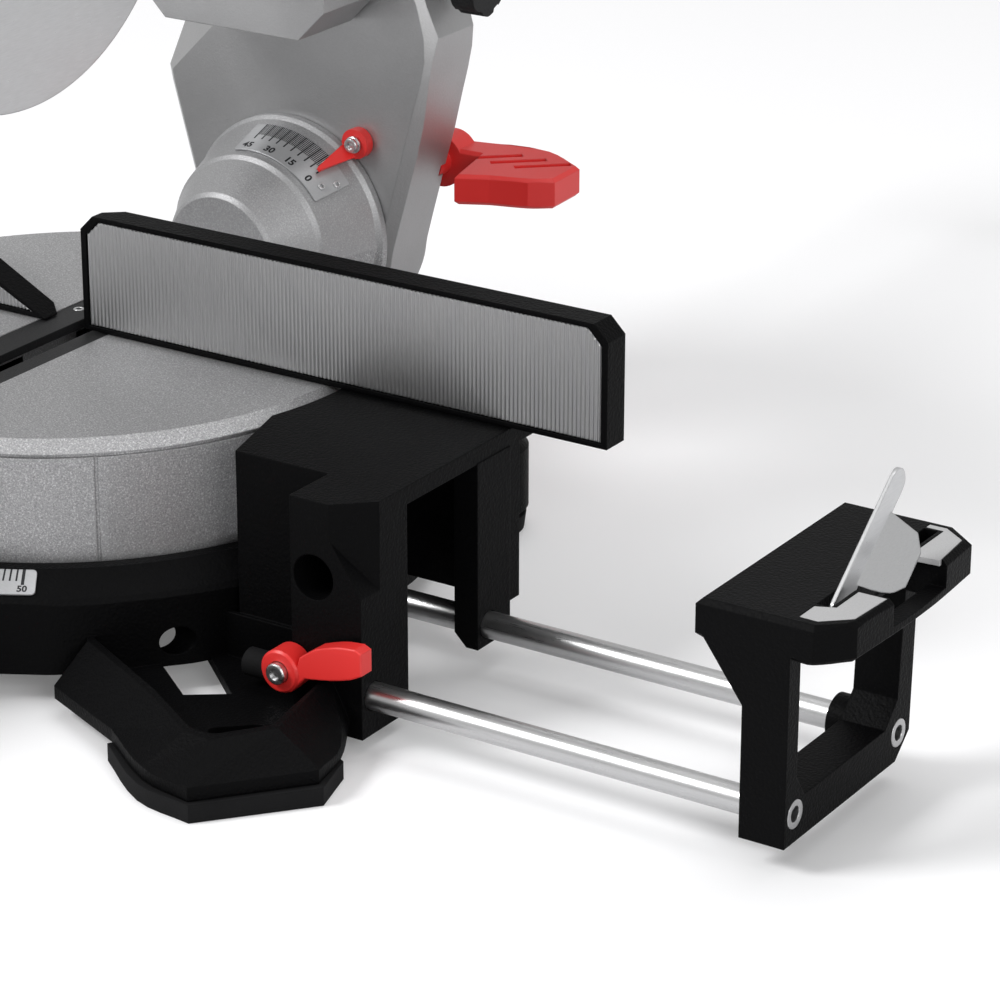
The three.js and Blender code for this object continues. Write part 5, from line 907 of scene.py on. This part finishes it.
def marks_tree():
    """Degree marks on a cone: thin bars from its edge, of which some are longer."""
    names = ["First", "Step", "Radius", "Level", "Slope", "Short", "Long", "Major Every", "Width", "Height"]
    g, given = new_tree("degree_marks", names)
    index = g.node("GeometryNodeInputIndex")
    angle = given.out("First") + index * given.out("Step")
    major = (index % given.out("Major Every")).below(0.5)
    length = given.out("Short") + (given.out("Long") - given.out("Short")) * major
    along = length * 0.5
    slope = given.out("Slope")
    reach = given.out("Radius") + along * slope.maths("COSINE", slope)
    level = given.out("Level") - along * slope.maths("SINE", slope)
    place = combine(g, reach * angle.maths("COSINE", angle), reach * angle.maths("SINE", angle), level)
    moved = g.node("GeometryNodeSetPosition", {}, {"Geometry": given.out("Geometry"), "Position": place})
    bar = g.node("GeometryNodeMeshCube", {}, {"Size": (1.0, 1.0, 1.0)}, "Mesh")
    turn = g.node("FunctionNodeEulerToRotation", {}, {0: combine(g, 0.0, slope, angle)})
    bars = g.node(
        "GeometryNodeInstanceOnPoints", {},
        {
            "Points": moved,
            "Instance": bar,
            "Rotation": turn,
            "Scale": combine(g, length, given.out("Width") * (1 + major * 0.7), given.out("Height") * 2),
        },
    )
    return close_tree(g, bars, "ink")


def ribs_tree():
    """An upright six-sided bar on each point, as tall as the point says."""
    g, given = new_tree("fence_ribs", ["Width", "Depth"])
    bar = g.node("GeometryNodeMeshCylinder", {}, {"Vertices": 6, "Radius": 0.5, "Depth": 1.0}, "Mesh")
    scale = g.stretch(attribute(g, "tall"), combine(g, given.out("Width"), given.out("Depth"), 1.0))
    bars = g.node(
        "GeometryNodeInstanceOnPoints", {},
        {"Points": given.out("Geometry"), "Instance": bar, "Scale": scale},
    )
    return close_tree(g, bars, "face_metal")


def tips_tree():
    """A hard tip for each tooth round the blade's rim."""
    g, given = new_tree("tooth_tips", ["Radius", "Step", "First", "Tip Length", "Tip Depth", "Tip Width"])
    angle = given.out("First") + g.node("GeometryNodeInputIndex") * given.out("Step")
    reach = given.out("Radius")
    place = combine(g, 0.0, reach * angle.maths("COSINE", angle), reach * angle.maths("SINE", angle))
    moved = g.node("GeometryNodeSetPosition", {}, {"Geometry": given.out("Geometry"), "Position": place})
    size = combine(g, given.out("Tip Width"), given.out("Tip Length"), given.out("Tip Depth"))
    tip = g.node("GeometryNodeMeshCube", {}, {"Size": size}, "Mesh")
    turn = g.node("FunctionNodeEulerToRotation", {}, {0: combine(g, angle, 0.0, 0.0)})
    tips = g.node(
        "GeometryNodeInstanceOnPoints", {}, {"Points": moved, "Instance": tip, "Rotation": turn}
    )
    return close_tree(g, tips, "tooth_tip")


FONT_SHARE = 0.7  # height of a figure as a share of the font's size
BOLD_SHARE = 0.05  # how far its outline is widened, as a share of its height


def screws(name, body, spots):
    """Screw heads at spots of (place, aim, size), on one body."""
    tree = bpy.data.node_groups.get("cap_screws") or screw_tree()
    points = [place for place, _, _ in spots]
    shape = {"aim": [aim for _, aim, _ in spots], "size": [(size,) * 3 for _, _, size in spots]}
    inputs = {"Head Radius": sizes().screw_radius, "Socket Share": sizes().socket_share}
    return placed(name, grown(name, tree, inputs, points, shape), body, "steel", "steel")


def number(text, size, matrix):
    """A number as a thin flat mesh, with its middle at the matrix's place."""
    curve = bpy.data.curves.new("number_" + text, "FONT")
    curve.body = text
    curve.size = size / FONT_SHARE
    curve.align_x, curve.align_y = "CENTER", "CENTER"
    curve.extrude = sizes().mark_height
    curve.offset = size * BOLD_SHARE
    curve.resolution_u = 3
    drawn_text = bpy.data.objects.new("number_" + text, curve)
    bpy.context.scene.collection.objects.link(drawn_text)
    mesh = bpy.data.meshes.new_from_object(
        drawn_text.evaluated_get(bpy.context.evaluated_depsgraph_get())
    )
    bpy.data.objects.remove(drawn_text)
    bpy.data.curves.remove(curve)
    return in_place(mesh, matrix)


def mesh_of(name, bm):
    """A mesh of what has been built, with the builder's memory freed."""
    mesh = bpy.data.meshes.new(name)
    bm.to_mesh(mesh)
    bm.free()
    return mesh


def joined(name, meshes):
    """One mesh made of several."""
    bm = bmesh.new()
    for mesh in meshes:
        bm.from_mesh(mesh)
        bpy.data.meshes.remove(mesh)
    bmesh.ops.remove_doubles(bm, verts=bm.verts, dist=JOIN)
    return mesh_of(name, bm)


def lofted(name, sections):
    """A closed shape through a row of sections with as many points each."""
    bm = bmesh.new()
    rows = [[bm.verts.new(point) for point in section] for section in sections]
    for one, other in zip(rows, rows[1:]):
        for k in range(len(one)):
            bm.faces.new((one[k], one[k - 1], other[k - 1], other[k]))
    bm.faces.new(rows[0])
    bm.faces.new(rows[-1][::-1])
    bmesh.ops.recalc_face_normals(bm, faces=bm.faces)
    return mesh_of(name, bm)


def turned(name, profile, axis, way, sides=32):
    """A closed shape turned about a line across the saw, from a profile of (place along it, radius)."""
    bm = bmesh.new()
    rings = []
    for along, radius in profile:
        angles = [2 * math.pi * k / sides for k in range(sides if radius else 1)]
        points = [Vector((way * along, radius * math.cos(a), radius * math.sin(a))) for a in angles]
        rings.append([bm.verts.new(axis + point) for point in points])
    for first, second in zip(rings, rings[1:]):
        for k in range(sides):
            turns = (first, k), (first, k - 1), (second, k - 1), (second, k)
            corners = [ring[j % len(ring)] for ring, j in turns]
            bm.faces.new(list(dict.fromkeys(corners)))
    bmesh.ops.recalc_face_normals(bm, faces=bm.faces)
    return mesh_of(name, bm)


# Places read off the frame


def surface_of(node):
    """A search tree of a node's faces."""
    mesh = NODES[node].data
    return BVHTree.FromPolygons([v.co for v in mesh.vertices], [tuple(p.vertices) for p in mesh.polygons])


def landed(node, place, aim):
    """Where a line against the aim, through a place, first meets a node, and how the node faces there."""
    aim = Vector(aim).normalized()
    hit, normal, _, _ = surface_of(node).ray_cast(place + aim * RAY_START, -aim)
    if hit is None:
        raise RuntimeError(f"nothing of {node} lies under {place}")
    if normal.dot(aim) < 0:
        normal = -normal
    return hit, normal


def reach_at(node, x):
    """A node's lowest and highest point in an upright cut across the saw, in metres."""
    mesh = NODES[node].data
    points = np.array([v.co for v in mesh.vertices])
    ends = np.array([e.vertices for e in mesh.edges])
    a, b = points[ends[:, 0]], points[ends[:, 1]]
    over = (a[:, 0] - x) * (b[:, 0] - x) <= 0
    a, b = a[over], b[over]
    span = np.where(abs(b[:, 0] - a[:, 0]) < NO_LENGTH, 1, b[:, 0] - a[:, 0])
    heights = a[:, 2] + np.clip((x - a[:, 0]) / span, 0, 1) * (b[:, 2] - a[:, 2])
    return heights.min(), heights.max()


def facing(place, right, up):
    """A matrix at a place, with its first axis to the right and its second up."""
    axes = Matrix((right, up, right.cross(up))).transposed().to_4x4()
    return Matrix.Translation(place) @ axes


class Cone:
    """A cone between two rings, each a (radius, level) in millimetres, and its turn into the frame."""

    CORNER_STEPS = 6

    def __init__(self, turn, start, end):
        self.turn, self.start = turn, start
        self.length = math.dist(start, end)
        self.way = [(b - a) / self.length for a, b in zip(start, end)]
        self.slope = math.atan2(-self.way[1], self.way[0])

    def place(self, angle, reach, lift=0.0):
        """The place at an angle, so far from the start ring and so far off the surface, in millimetres."""
        radius = self.start[0] + self.way[0] * reach - self.way[1] * lift * self.side()
        level = self.start[1] + self.way[1] * reach + self.way[0] * lift * self.side()
        return self.turn @ (Vector((radius * math.cos(angle), radius * math.sin(angle), level)) * MM)

    def side(self):
        """Which side of the surface is its outside."""
        return 1 if self.way[1] < 0 else -1

    def normal(self, angle):
        return (self.place(angle, 0, 1) - self.place(angle, 0)).normalized()

    def facing(self, angle, reach):
        """The matrix of a number that stands upright on the surface."""
        up = (self.place(angle, 0) - self.place(angle, 1)).normalized()
        return facing(self.place(angle, reach), up.cross(self.normal(angle)), up)

    def plate(self, name, first, last, thick, corner):
        """A plate on the surface with rounded corners, from one angle to another."""
        arc = (last - first) * self.start[0]
        steps, spans = self.CORNER_STEPS, int(math.degrees(last - first))
        marks = [corner * (1 - math.cos(math.pi / 2 * k / steps)) for k in range(steps + 1)]
        marks += [corner + (arc - 2 * corner) * k / spans for k in range(1, spans)]
        marks += [arc - mark for mark in marks[steps::-1]]
        sections = []
        for mark in marks:
            near = max(corner - min(mark, arc - mark), 0)
            inset = corner - math.sqrt(max(corner**2 - near**2, 0))
            angle = first + mark / self.start[0]
            ends = ((inset, -thick), (inset, 0), (self.length - inset, 0), (self.length - inset, -thick))
            sections.append([self.place(angle, *end) for end in ends])
        return lofted(name, sections)


# One operator for each piece or group of like pieces


class SAW_OT_base(bpy.types.Operator):
    """Coated base casting with its rubber soles and pivot bolt"""

    bl_idname = "saw.base"
    bl_label = "Base"

    def execute(self, context):
        rounded("base_casting", BASE_TURN, area=FOOT_AREA, reach=ROUND_REACH)
        for end in ("front", "rear"):
            for side, _ in SIDES:
                rounded(f"foot_sole_{end}_{side}")
        rounded("mitre_pivot_bolt")
        return {"FINISHED"}


class SAW_OT_fence(bpy.types.Operator):
    """Fence castings with their finely ribbed metal faces"""

    bl_idname = "saw.fence"
    bl_label = "Fence"

    RIB_SHARE = 0.62  # a rib's width as a share of the pitch
    RIB_MARGIN = 0.0006  # what the ribs stop short of the plate's edges, both ends together
    INSIDE = 0.0001  # how far the outermost ribs keep from the plate's ends
    TIE = 1e-6  # how far a cut keeps from the end that it would miss

    def execute(self, context):
        tree = ribs_tree()
        for side, _ in SIDES:
            rounded(f"fence_{side}")
            self.face(f"fence_face_{side}", tree)
        return {"FINISHED"}

    def face(self, node, tree):
        """A plate with the node's outline, and a rib at every pitch across it."""
        low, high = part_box(node)
        pitch, rise = sizes().rib_pitch, sizes().rib_height
        count = int((high.x - low.x) / pitch)
        start = (low.x + high.x - count * pitch) / 2
        points, tall = [], []
        for i in range(count + 1):
            x = min(max(start + i * pitch, low.x + self.INSIDE), high.x - self.INSIDE)
            bottom, top = reach_at(node, x)
            points.append((x, low.y + rise, (bottom + top) / 2))
            tall.append((1, 1, top - bottom - self.RIB_MARGIN))
        inputs = {"Width": pitch * self.RIB_SHARE, "Depth": rise * 2}
        ribs = grown(node + "_ribs", tree, inputs, points, {"tall": tall})
        mesh = joined(node + "_ribbed", [ribs, self.plate(node, low, high, rise)])
        placed(node + "_ribbed", mesh, "base", "steel", "face_metal", [node])

    def plate(self, node, low, high, rise):
        """The node's outline as a flat plate behind the ribs."""
        cuts = sorted({round(v.co.x, 5) for v in NODES[node].data.vertices})
        front, back = low.y + rise, high.y
        sections = []
        for cut in cuts:
            x = min(max(cut, low.x + self.TIE), high.x - self.TIE)
            bottom, top = reach_at(node, x)
            sections.append([(x, front, bottom), (x, front, top), (x, back, top), (x, back, bottom)])
        return lofted(node + "_plate", sections)


class SAW_OT_turntable(bpy.types.Operator):
    """Speckled turntable with its kerf insert, mitre pointer and the bolt that the arm tilts on"""

    bl_idname = "saw.turntable"
    bl_label = "Turntable"

    def execute(self, context):
        for node in ("turntable_casting", "kerf_insert", "mitre_pointer", "tilt_pivot_bolt"):
            rounded(node)
        return {"FINISHED"}


class SAW_OT_scales(bpy.types.Operator):
    """Scale plates with their degree marks and numbers"""

    bl_idname = "saw.scales"
    bl_label = "Scales"

    DEGREE = math.radians(1)
    THICK = 0.8
    # Places on each scale are angles, or millimetres from the ring that its marks start on.
    MITRE_RINGS = (157.4, 54.6), (168.88, 48.04)
    MITRE_ENDS = math.radians(-161.4), math.radians(-57.4)
    MITRE_CORNER = 2.0
    MITRE_ZERO = math.radians(-109.4)
    MITRE_LIMIT = 50
    MITRE_TICK_SHARE = 1.8
    MITRE_DIGITS = 10.4
    BEVEL_RINGS = (54.1, -160.0), (47.1, -139.0)
    BEVEL_ENDS = math.radians(36), math.radians(102)
    BEVEL_CORNER = 1.0
    BEVEL_ZERO = math.radians(50)
    BEVEL_LIMIT = 45
    BEVEL_DIGIT_SHARE = 1.25
    BEVEL_DIGITS = 18.0
    RIVETS = ((math.radians(42), 15.0), (math.radians(39), 7.0))
    RIVET_SHARE = 0.5

    def execute(self, context):
        tree = marks_tree()
        self.mitre(tree)
        self.bevel(tree)
        return {"FINISHED"}

    def marks(self, name, tree, count, cone, values):
        shared = {
            "Step": self.DEGREE, "Major Every": 5.0, "Height": sizes().mark_height,
            "Radius": cone.start[0] * MM, "Level": cone.start[1] * MM, "Slope": cone.slope,
        }
        return in_place(grown(name, tree, {**shared, **values}, [(0, 0, 0)] * count), cone.turn)

    def mitre(self, tree):
        """A mark for each degree to either side of zero, and a number every five."""
        cone = Cone(Matrix.Translation((0, DRAWING_Y, 0)), *self.MITRE_RINGS)
        plate = cone.plate("mitre_plate", *self.MITRE_ENDS, self.THICK, self.MITRE_CORNER)
        placed("mitre_plate", plate, "base", "scale_plate", "scale_plate", ["mitre_scale"])
        zero, limit, size = self.MITRE_ZERO, self.MITRE_LIMIT, sizes().digit_size
        values = {
            "First": zero - limit * self.DEGREE, "Short": 0.0062, "Long": 0.0082,
            "Width": sizes().tick_width * self.MITRE_TICK_SHARE,
        }
        meshes = [self.marks("mitre_marks", tree, 2 * limit + 1, cone, values)]
        for degrees in range(-limit, limit + 1, 5):
            place = cone.facing(zero + degrees * self.DEGREE, self.MITRE_DIGITS)
            meshes.append(number(str(abs(degrees)), size, place))
        placed("mitre_marks", joined("mitre_marks", meshes), "base", "scale_plate", "ink")

    def bevel(self, tree):
        """A mark for each degree along the rear edge, and a number every fifteen near the front."""
        axis = Matrix.Translation((0, DRAWING_Y, middle("tilt_pivot_bolt").z))
        turn = axis @ Matrix.Rotation(math.pi / 2, 4, "X")
        cone = Cone(turn, *self.BEVEL_RINGS)
        plate = cone.plate("bevel_plate", *self.BEVEL_ENDS, self.THICK, self.BEVEL_CORNER)
        placed("bevel_plate", plate, "turntable", "scale_plate", "scale_plate", ["bevel_scale"])
        zero, limit = self.BEVEL_ZERO, self.BEVEL_LIMIT
        size = sizes().digit_size * self.BEVEL_DIGIT_SHARE
        values = {"First": zero, "Short": 0.0090, "Long": 0.0125, "Width": sizes().tick_width}
        meshes = [self.marks("bevel_marks", tree, limit + 1, cone, values)]
        for degrees in range(0, limit + 1, 15):
            place = cone.facing(zero + degrees * self.DEGREE, self.BEVEL_DIGITS)
            meshes.append(number(str(degrees), size, place))
        placed("bevel_marks", joined("bevel_marks", meshes), "turntable", "scale_plate", "ink")
        spots = [(cone.place(a, reach), cone.normal(a), self.RIVET_SHARE) for a, reach in self.RIVETS]
        screws("bevel_rivets", "turntable", spots)


class SAW_OT_tilt(bpy.types.Operator):
    """Cast tilting arm and its red needle"""

    bl_idname = "saw.tilt"
    bl_label = "Tilting arm"

    def execute(self, context):
        rounded("tilt_arm")
        rounded("bevel_pointer")
        rounded("bevel_pointer_screw", MOULDED_TURN)
        return {"FINISHED"}


class SAW_OT_locks(bpy.types.Operator):
    """Levers, knobs and pins that lock the mitre, the bevel, the slide and the head"""

    bl_idname = "saw.locks"
    bl_label = "Levers and knobs"

    def execute(self, context):
        for node in ("mitre_lock_knob", "slide_lock_knob"):
            rounded(node)
        for node in ("bevel_lock_lever", "detent_lever"):
            rounded(node, LEVER_TURN, area=LEVER_AREA)
        # The pin keeps its facets: pushed in, its knob just passes the corner of the head's block.
        rounded("transport_pin", KEPT_TURN, area=0)
        return {"FINISHED"}


class SAW_OT_slide(bpy.types.Operator):
    """Ground rails with their end cap and the head's block"""

    bl_idname = "saw.slide"
    bl_label = "Slide"

    def execute(self, context):
        for side, _ in SIDES:
            rounded(f"slide_rail_{side}", finish_name="rail_steel")
        rounded("rail_end_cap")
        rounded("head_block")
        return {"FINISHED"}


class SAW_OT_head(bpy.types.Operator):
    """Head casting with its motor, dust port and cord gland"""

    bl_idname = "saw.head"
    bl_label = "Head"

    def execute(self, context):
        for node in ("head_casting", "motor_housing", "motor_cap", "dust_port", "cord_gland"):
            rounded(node)
        for node in ("head_pivot_pin", "spindle_lock_button"):
            rounded(node, MOULDED_TURN)
        return {"FINISHED"}


class SAW_OT_handle(bpy.types.Operator):
    """Handle with its trigger and lock-off button"""

    bl_idname = "saw.handle"
    bl_label = "Handle"

    def execute(self, context):
        for node in ("handle", "trigger", "lock_off_button"):
            rounded(node, MOULDED_TURN)
        return {"FINISHED"}


class SAW_OT_blade(bpy.types.Operator):
    """Toothed blade on its shaft, and the guard round it"""

    bl_idname = "saw.blade"
    bl_label = "Blade and guard"

    TEETH = 24
    TIP_LENGTH = 0.0022
    TIP_WIDTH_SHARE = 1.3  # a tip's width as a share of the blade's thickness
    TIP_LEAD = 0.012  # how far a tip's middle lies before its tooth's corner, as an angle
    RIM = 0.0001

    def execute(self, context):
        rounded("saw_blade", BLADE_TURN, "blade_steel")
        rounded("blade_flange")
        rounded("arbor_shaft")
        rounded("lower_guard", GUARD_TURN)
        self.tips()
        return {"FINISHED"}

    def tips(self):
        """A hard tip on each of the blade's teeth."""
        low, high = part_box("saw_blade")
        centre = middle("saw_blade")
        points = [v.co - centre for v in NODES["saw_blade"].data.vertices]
        radius = max(math.hypot(p.y, p.z) for p in points)
        corners = [math.atan2(p.z, p.y) for p in points if math.hypot(p.y, p.z) > radius - self.RIM]
        step = math.radians(360 / self.TEETH)
        first = min(corner % step for corner in corners)
        tip = sizes().tooth_tip
        values = {
            "Radius": radius - tip / 2, "Step": step, "First": first - self.TIP_LEAD,
            "Tip Length": self.TIP_LENGTH, "Tip Depth": tip,
            "Tip Width": (high.x - low.x) * self.TIP_WIDTH_SHARE,
        }
        mesh = grown("tooth_tips", tips_tree(), values, [(0, 0, 0)] * self.TEETH)
        placed("tooth_tips", in_place(mesh, Matrix.Translation(centre)), "blade", "steel", "tooth_tip")


class SAW_OT_supports(bpy.types.Operator):
    """Extension supports with their rods, inlays, flip stops, clamps and end stops"""

    bl_idname = "saw.supports"
    bl_label = "Extension supports"

    PLUG_LENGTH = 0.0134
    PLUG_CAP = 0.0012
    PLUG_CHAMFER = 0.0008
    PLUG_OVER = 0.0002  # how far a plug stands over its rod

    def execute(self, context):
        parts = (
            "end_bracket", "inlay_front", "inlay_rear", "rod_front", "rod_rear",
            "stop_pin", "flip_stop", "clamp_screw",
        )
        for side, way in SIDES:
            for part in parts:
                rounded(f"{part}_{side}")
            rounded(f"clamp_lever_{side}", area=CLAMP_AREA)
            self.plugs(side, way)
        return {"FINISHED"}

    def plugs(self, side, way):
        """Dark end stops on the rods' inner ends."""
        length, cap, chamfer = self.PLUG_LENGTH, self.PLUG_CAP, self.PLUG_CHAMFER
        meshes = []
        for row in ("front", "rear"):
            rod = f"rod_{row}_{side}"
            low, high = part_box(rod)
            axis = middle(rod)
            axis.x = low.x if way > 0 else high.x
            radius = (high.z - low.z) / 2
            outer = radius + self.PLUG_OVER
            profile = [
                (-cap, 0), (-cap, radius - chamfer), (chamfer - cap, outer),
                (length - chamfer / 2, outer), (length, radius - chamfer / 2), (length, 0),
            ]
            meshes.append(turned(f"rod_plug_{row}_{side}", profile, axis, way))
        name = f"rod_plugs_{side}"
        placed(name, joined(name, meshes), f"support_{side}", "dark_plastic", "rubber")


class SAW_OT_screws(bpy.types.Operator):
    """Cap screws of the insert, the motor, the needle and the clamps"""

    bl_idname = "saw.screws"
    bl_label = "Screws"

    INSERT = [(x, y) for x in (-14, 14) for y in (-262, -118, 22)]  # in the drawing's millimetres
    NEEDLE = (41.7, 0, 159.8)
    MOTOR_RING = 0.031
    UP, FORWARD, OUT = (0, 0, 1), (0, -1, 0), (1, 0, 0)
    # How far heads sink in, in metres, and their size as a share of a full head
    INSERT_FIT = 0.0016, 0.75
    MOTOR_FIT = 0, 0.8
    NEEDLE_FIT = 0.0014, 1.0
    CLAMP_FIT = 0.0020, 1.3

    def execute(self, context):
        insert = [drawn(x, y, 0) for x, y in self.INSERT]
        self.heads("insert_screws", "turntable", "kerf_insert", insert, self.UP, *self.INSERT_FIT)
        turns = [math.radians(45 + 90 * k) for k in range(4)]
        ring = [Vector((0, math.cos(a), math.sin(a))) * self.MOTOR_RING for a in turns]
        cap = [middle("motor_cap") + place for place in ring]
        self.heads("motor_screws", "head", "motor_cap", cap, self.OUT, *self.MOTOR_FIT)
        needle = "needle_screw", "tilt", "bevel_pointer_screw"
        self.heads(*needle, [drawn(*self.NEEDLE)], self.FORWARD, *self.NEEDLE_FIT)
        for side, _ in SIDES:
            screw = f"clamp_screw_{side}"
            clamp = f"clamp_head_{side}", f"clamp_{side}", screw
            self.heads(*clamp, [middle(screw)], self.FORWARD, *self.CLAMP_FIT)
        return {"FINISHED"}

    def heads(self, name, body, node, places, aim, sink, size):
        """Heads sunk into a node where lines along an aim meet it at the places."""
        spots = [landed(node, place, aim) for place in places]
        screws(name, body, [(hit - normal * sink, normal, size) for hit, normal in spots])


class SAW_OT_stage(bpy.types.Operator):
    """Pale floor, soft lights, white surroundings and the camera"""

    bl_idname = "saw.stage"
    bl_label = "Stage"

    # The camera, with its turns in radians and its lens and sensor in millimetres
    EYE = (1.056, -1.33355, 0.6918)
    AZIMUTH, ELEVATION = 0.577065546, 0.385868518
    LENS, SENSOR = 136.93, 36.0
    SHIFT = (0.0124, -0.0033)
    FAR = 200.0
    FLOOR_LEVEL = -0.0002
    AIM = (0.1, 0, 0.1)
    LAMPS = (
        ("key", (-1.5, -1.9, 2.4), 1.3, 74.0),
        ("fill", (2.6, -1.6, 1.3), 1.6, 30.0),
        ("top", (0.3, 0.6, 3.0), 2.2, 28.0),
    )  # name, place, width and power
    # Strength of the white surroundings as a light, and what is added where they are seen or mirrored
    LIGHT, SEEN, MIRRORED = 0.36, 0.64, 0.25

    def execute(self, context):
        self.camera()
        self.floor()
        self.lights()
        self.surroundings()
        bpy.context.scene.view_settings.view_transform = "Standard"
        return {"FINISHED"}

    def camera(self):
        data = bpy.data.cameras.new("camera")
        data.lens, data.sensor_width = self.LENS, self.SENSOR
        data.shift_x, data.shift_y = self.SHIFT
        data.clip_end = self.FAR
        eye = bpy.data.objects.new("camera", data)
        bpy.context.scene.collection.objects.link(eye)
        turn, rise = self.AZIMUTH, self.ELEVATION
        right = Vector((math.cos(turn), math.sin(turn), 0))
        up = Vector((-math.sin(turn) * math.sin(rise), math.cos(turn) * math.sin(rise), math.cos(rise)))
        eye.matrix_world = facing(Vector(self.EYE), right, up)
        bpy.context.scene.camera = eye

    def floor(self):
        """A wide plain floor, with its sheet's edge far out of sight."""
        half = sizes().floor_size / 2
        mesh = bpy.data.meshes.new("floor")
        corners = [(x * half, y * half, self.FLOOR_LEVEL) for x, y in ((-1, -1), (1, -1), (1, 1), (-1, 1))]
        mesh.from_pydata(corners, [], [(0, 1, 2, 3)])
        mesh.materials.append(finish("studio_floor"))
        floor = bpy.data.objects.new("floor", mesh)
        bpy.context.scene.collection.objects.link(floor)

    def lights(self):
        for name, place, size, power in self.LAMPS:
            data = bpy.data.lights.new(name, "AREA")
            data.shape, data.size, data.energy = "DISK", size, power
            lamp = bpy.data.objects.new(name, data)
            bpy.context.scene.collection.objects.link(lamp)
            lamp.location = place
            way = Vector(self.AIM) - Vector(place)
            lamp.rotation_euler = way.to_track_quat("-Z", "Y").to_euler()

    def surroundings(self):
        """White behind the saw and in its reflections, softer as a light."""
        world = bpy.data.worlds.new("surroundings")
        world.use_nodes = True
        world.node_tree.nodes.clear()
        g = Graph(world.node_tree)
        path = g.node("ShaderNodeLightPath")
        seen = path.maths("MAXIMUM", path, path.out("Is Transmission Ray"))
        strength = self.LIGHT + seen * self.SEEN + path.out("Is Glossy Ray") * self.MIRRORED
        light = g.node("ShaderNodeBackground", {}, {"Color": (1.0, 1.0, 1.0), "Strength": strength})
        g.node("ShaderNodeOutputWorld", {}, {"Surface": light}, None)
        bpy.context.scene.world = world


STEPS = (
    SAW_OT_base, SAW_OT_fence, SAW_OT_turntable, SAW_OT_scales, SAW_OT_tilt, SAW_OT_locks, SAW_OT_slide,
    SAW_OT_head, SAW_OT_handle, SAW_OT_blade, SAW_OT_supports, SAW_OT_screws, SAW_OT_stage,
)


class SAW_PT_panel(bpy.types.Panel):
    """Steps that dress the saw, with its sizes and colours"""

    bl_idname = "SAW_PT_panel"
    bl_label = "Mitre Saw"
    bl_space_type = "VIEW_3D"
    bl_region_type = "UI"
    bl_category = "Mitre Saw"

    def draw(self, context):
        for step in STEPS:
            self.layout.operator(step.bl_idname)
        for group in (context.scene.saw_sizes, context.scene.saw_colours):
            box = self.layout.box()
            for key in group.__annotations__:
                box.prop(group, key)


CLASSES = (SawSizes, SawColours, *STEPS, SAW_PT_panel)


def register():
    for kind in CLASSES:
        bpy.utils.register_class(kind)
    bpy.types.Scene.saw_sizes = bpy.props.PointerProperty(type=SawSizes)
    bpy.types.Scene.saw_colours = bpy.props.PointerProperty(type=SawColours)


def unregister():
    del bpy.types.Scene.saw_sizes
    del bpy.types.Scene.saw_colours
    for kind in reversed(CLASSES):
        bpy.utils.unregister_class(kind)


def main():
    """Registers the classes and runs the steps."""
    register()
    for step in STEPS:
        getattr(bpy.ops.saw, step.bl_idname.removeprefix("saw."))()


if __name__ == "__main__":
    main()
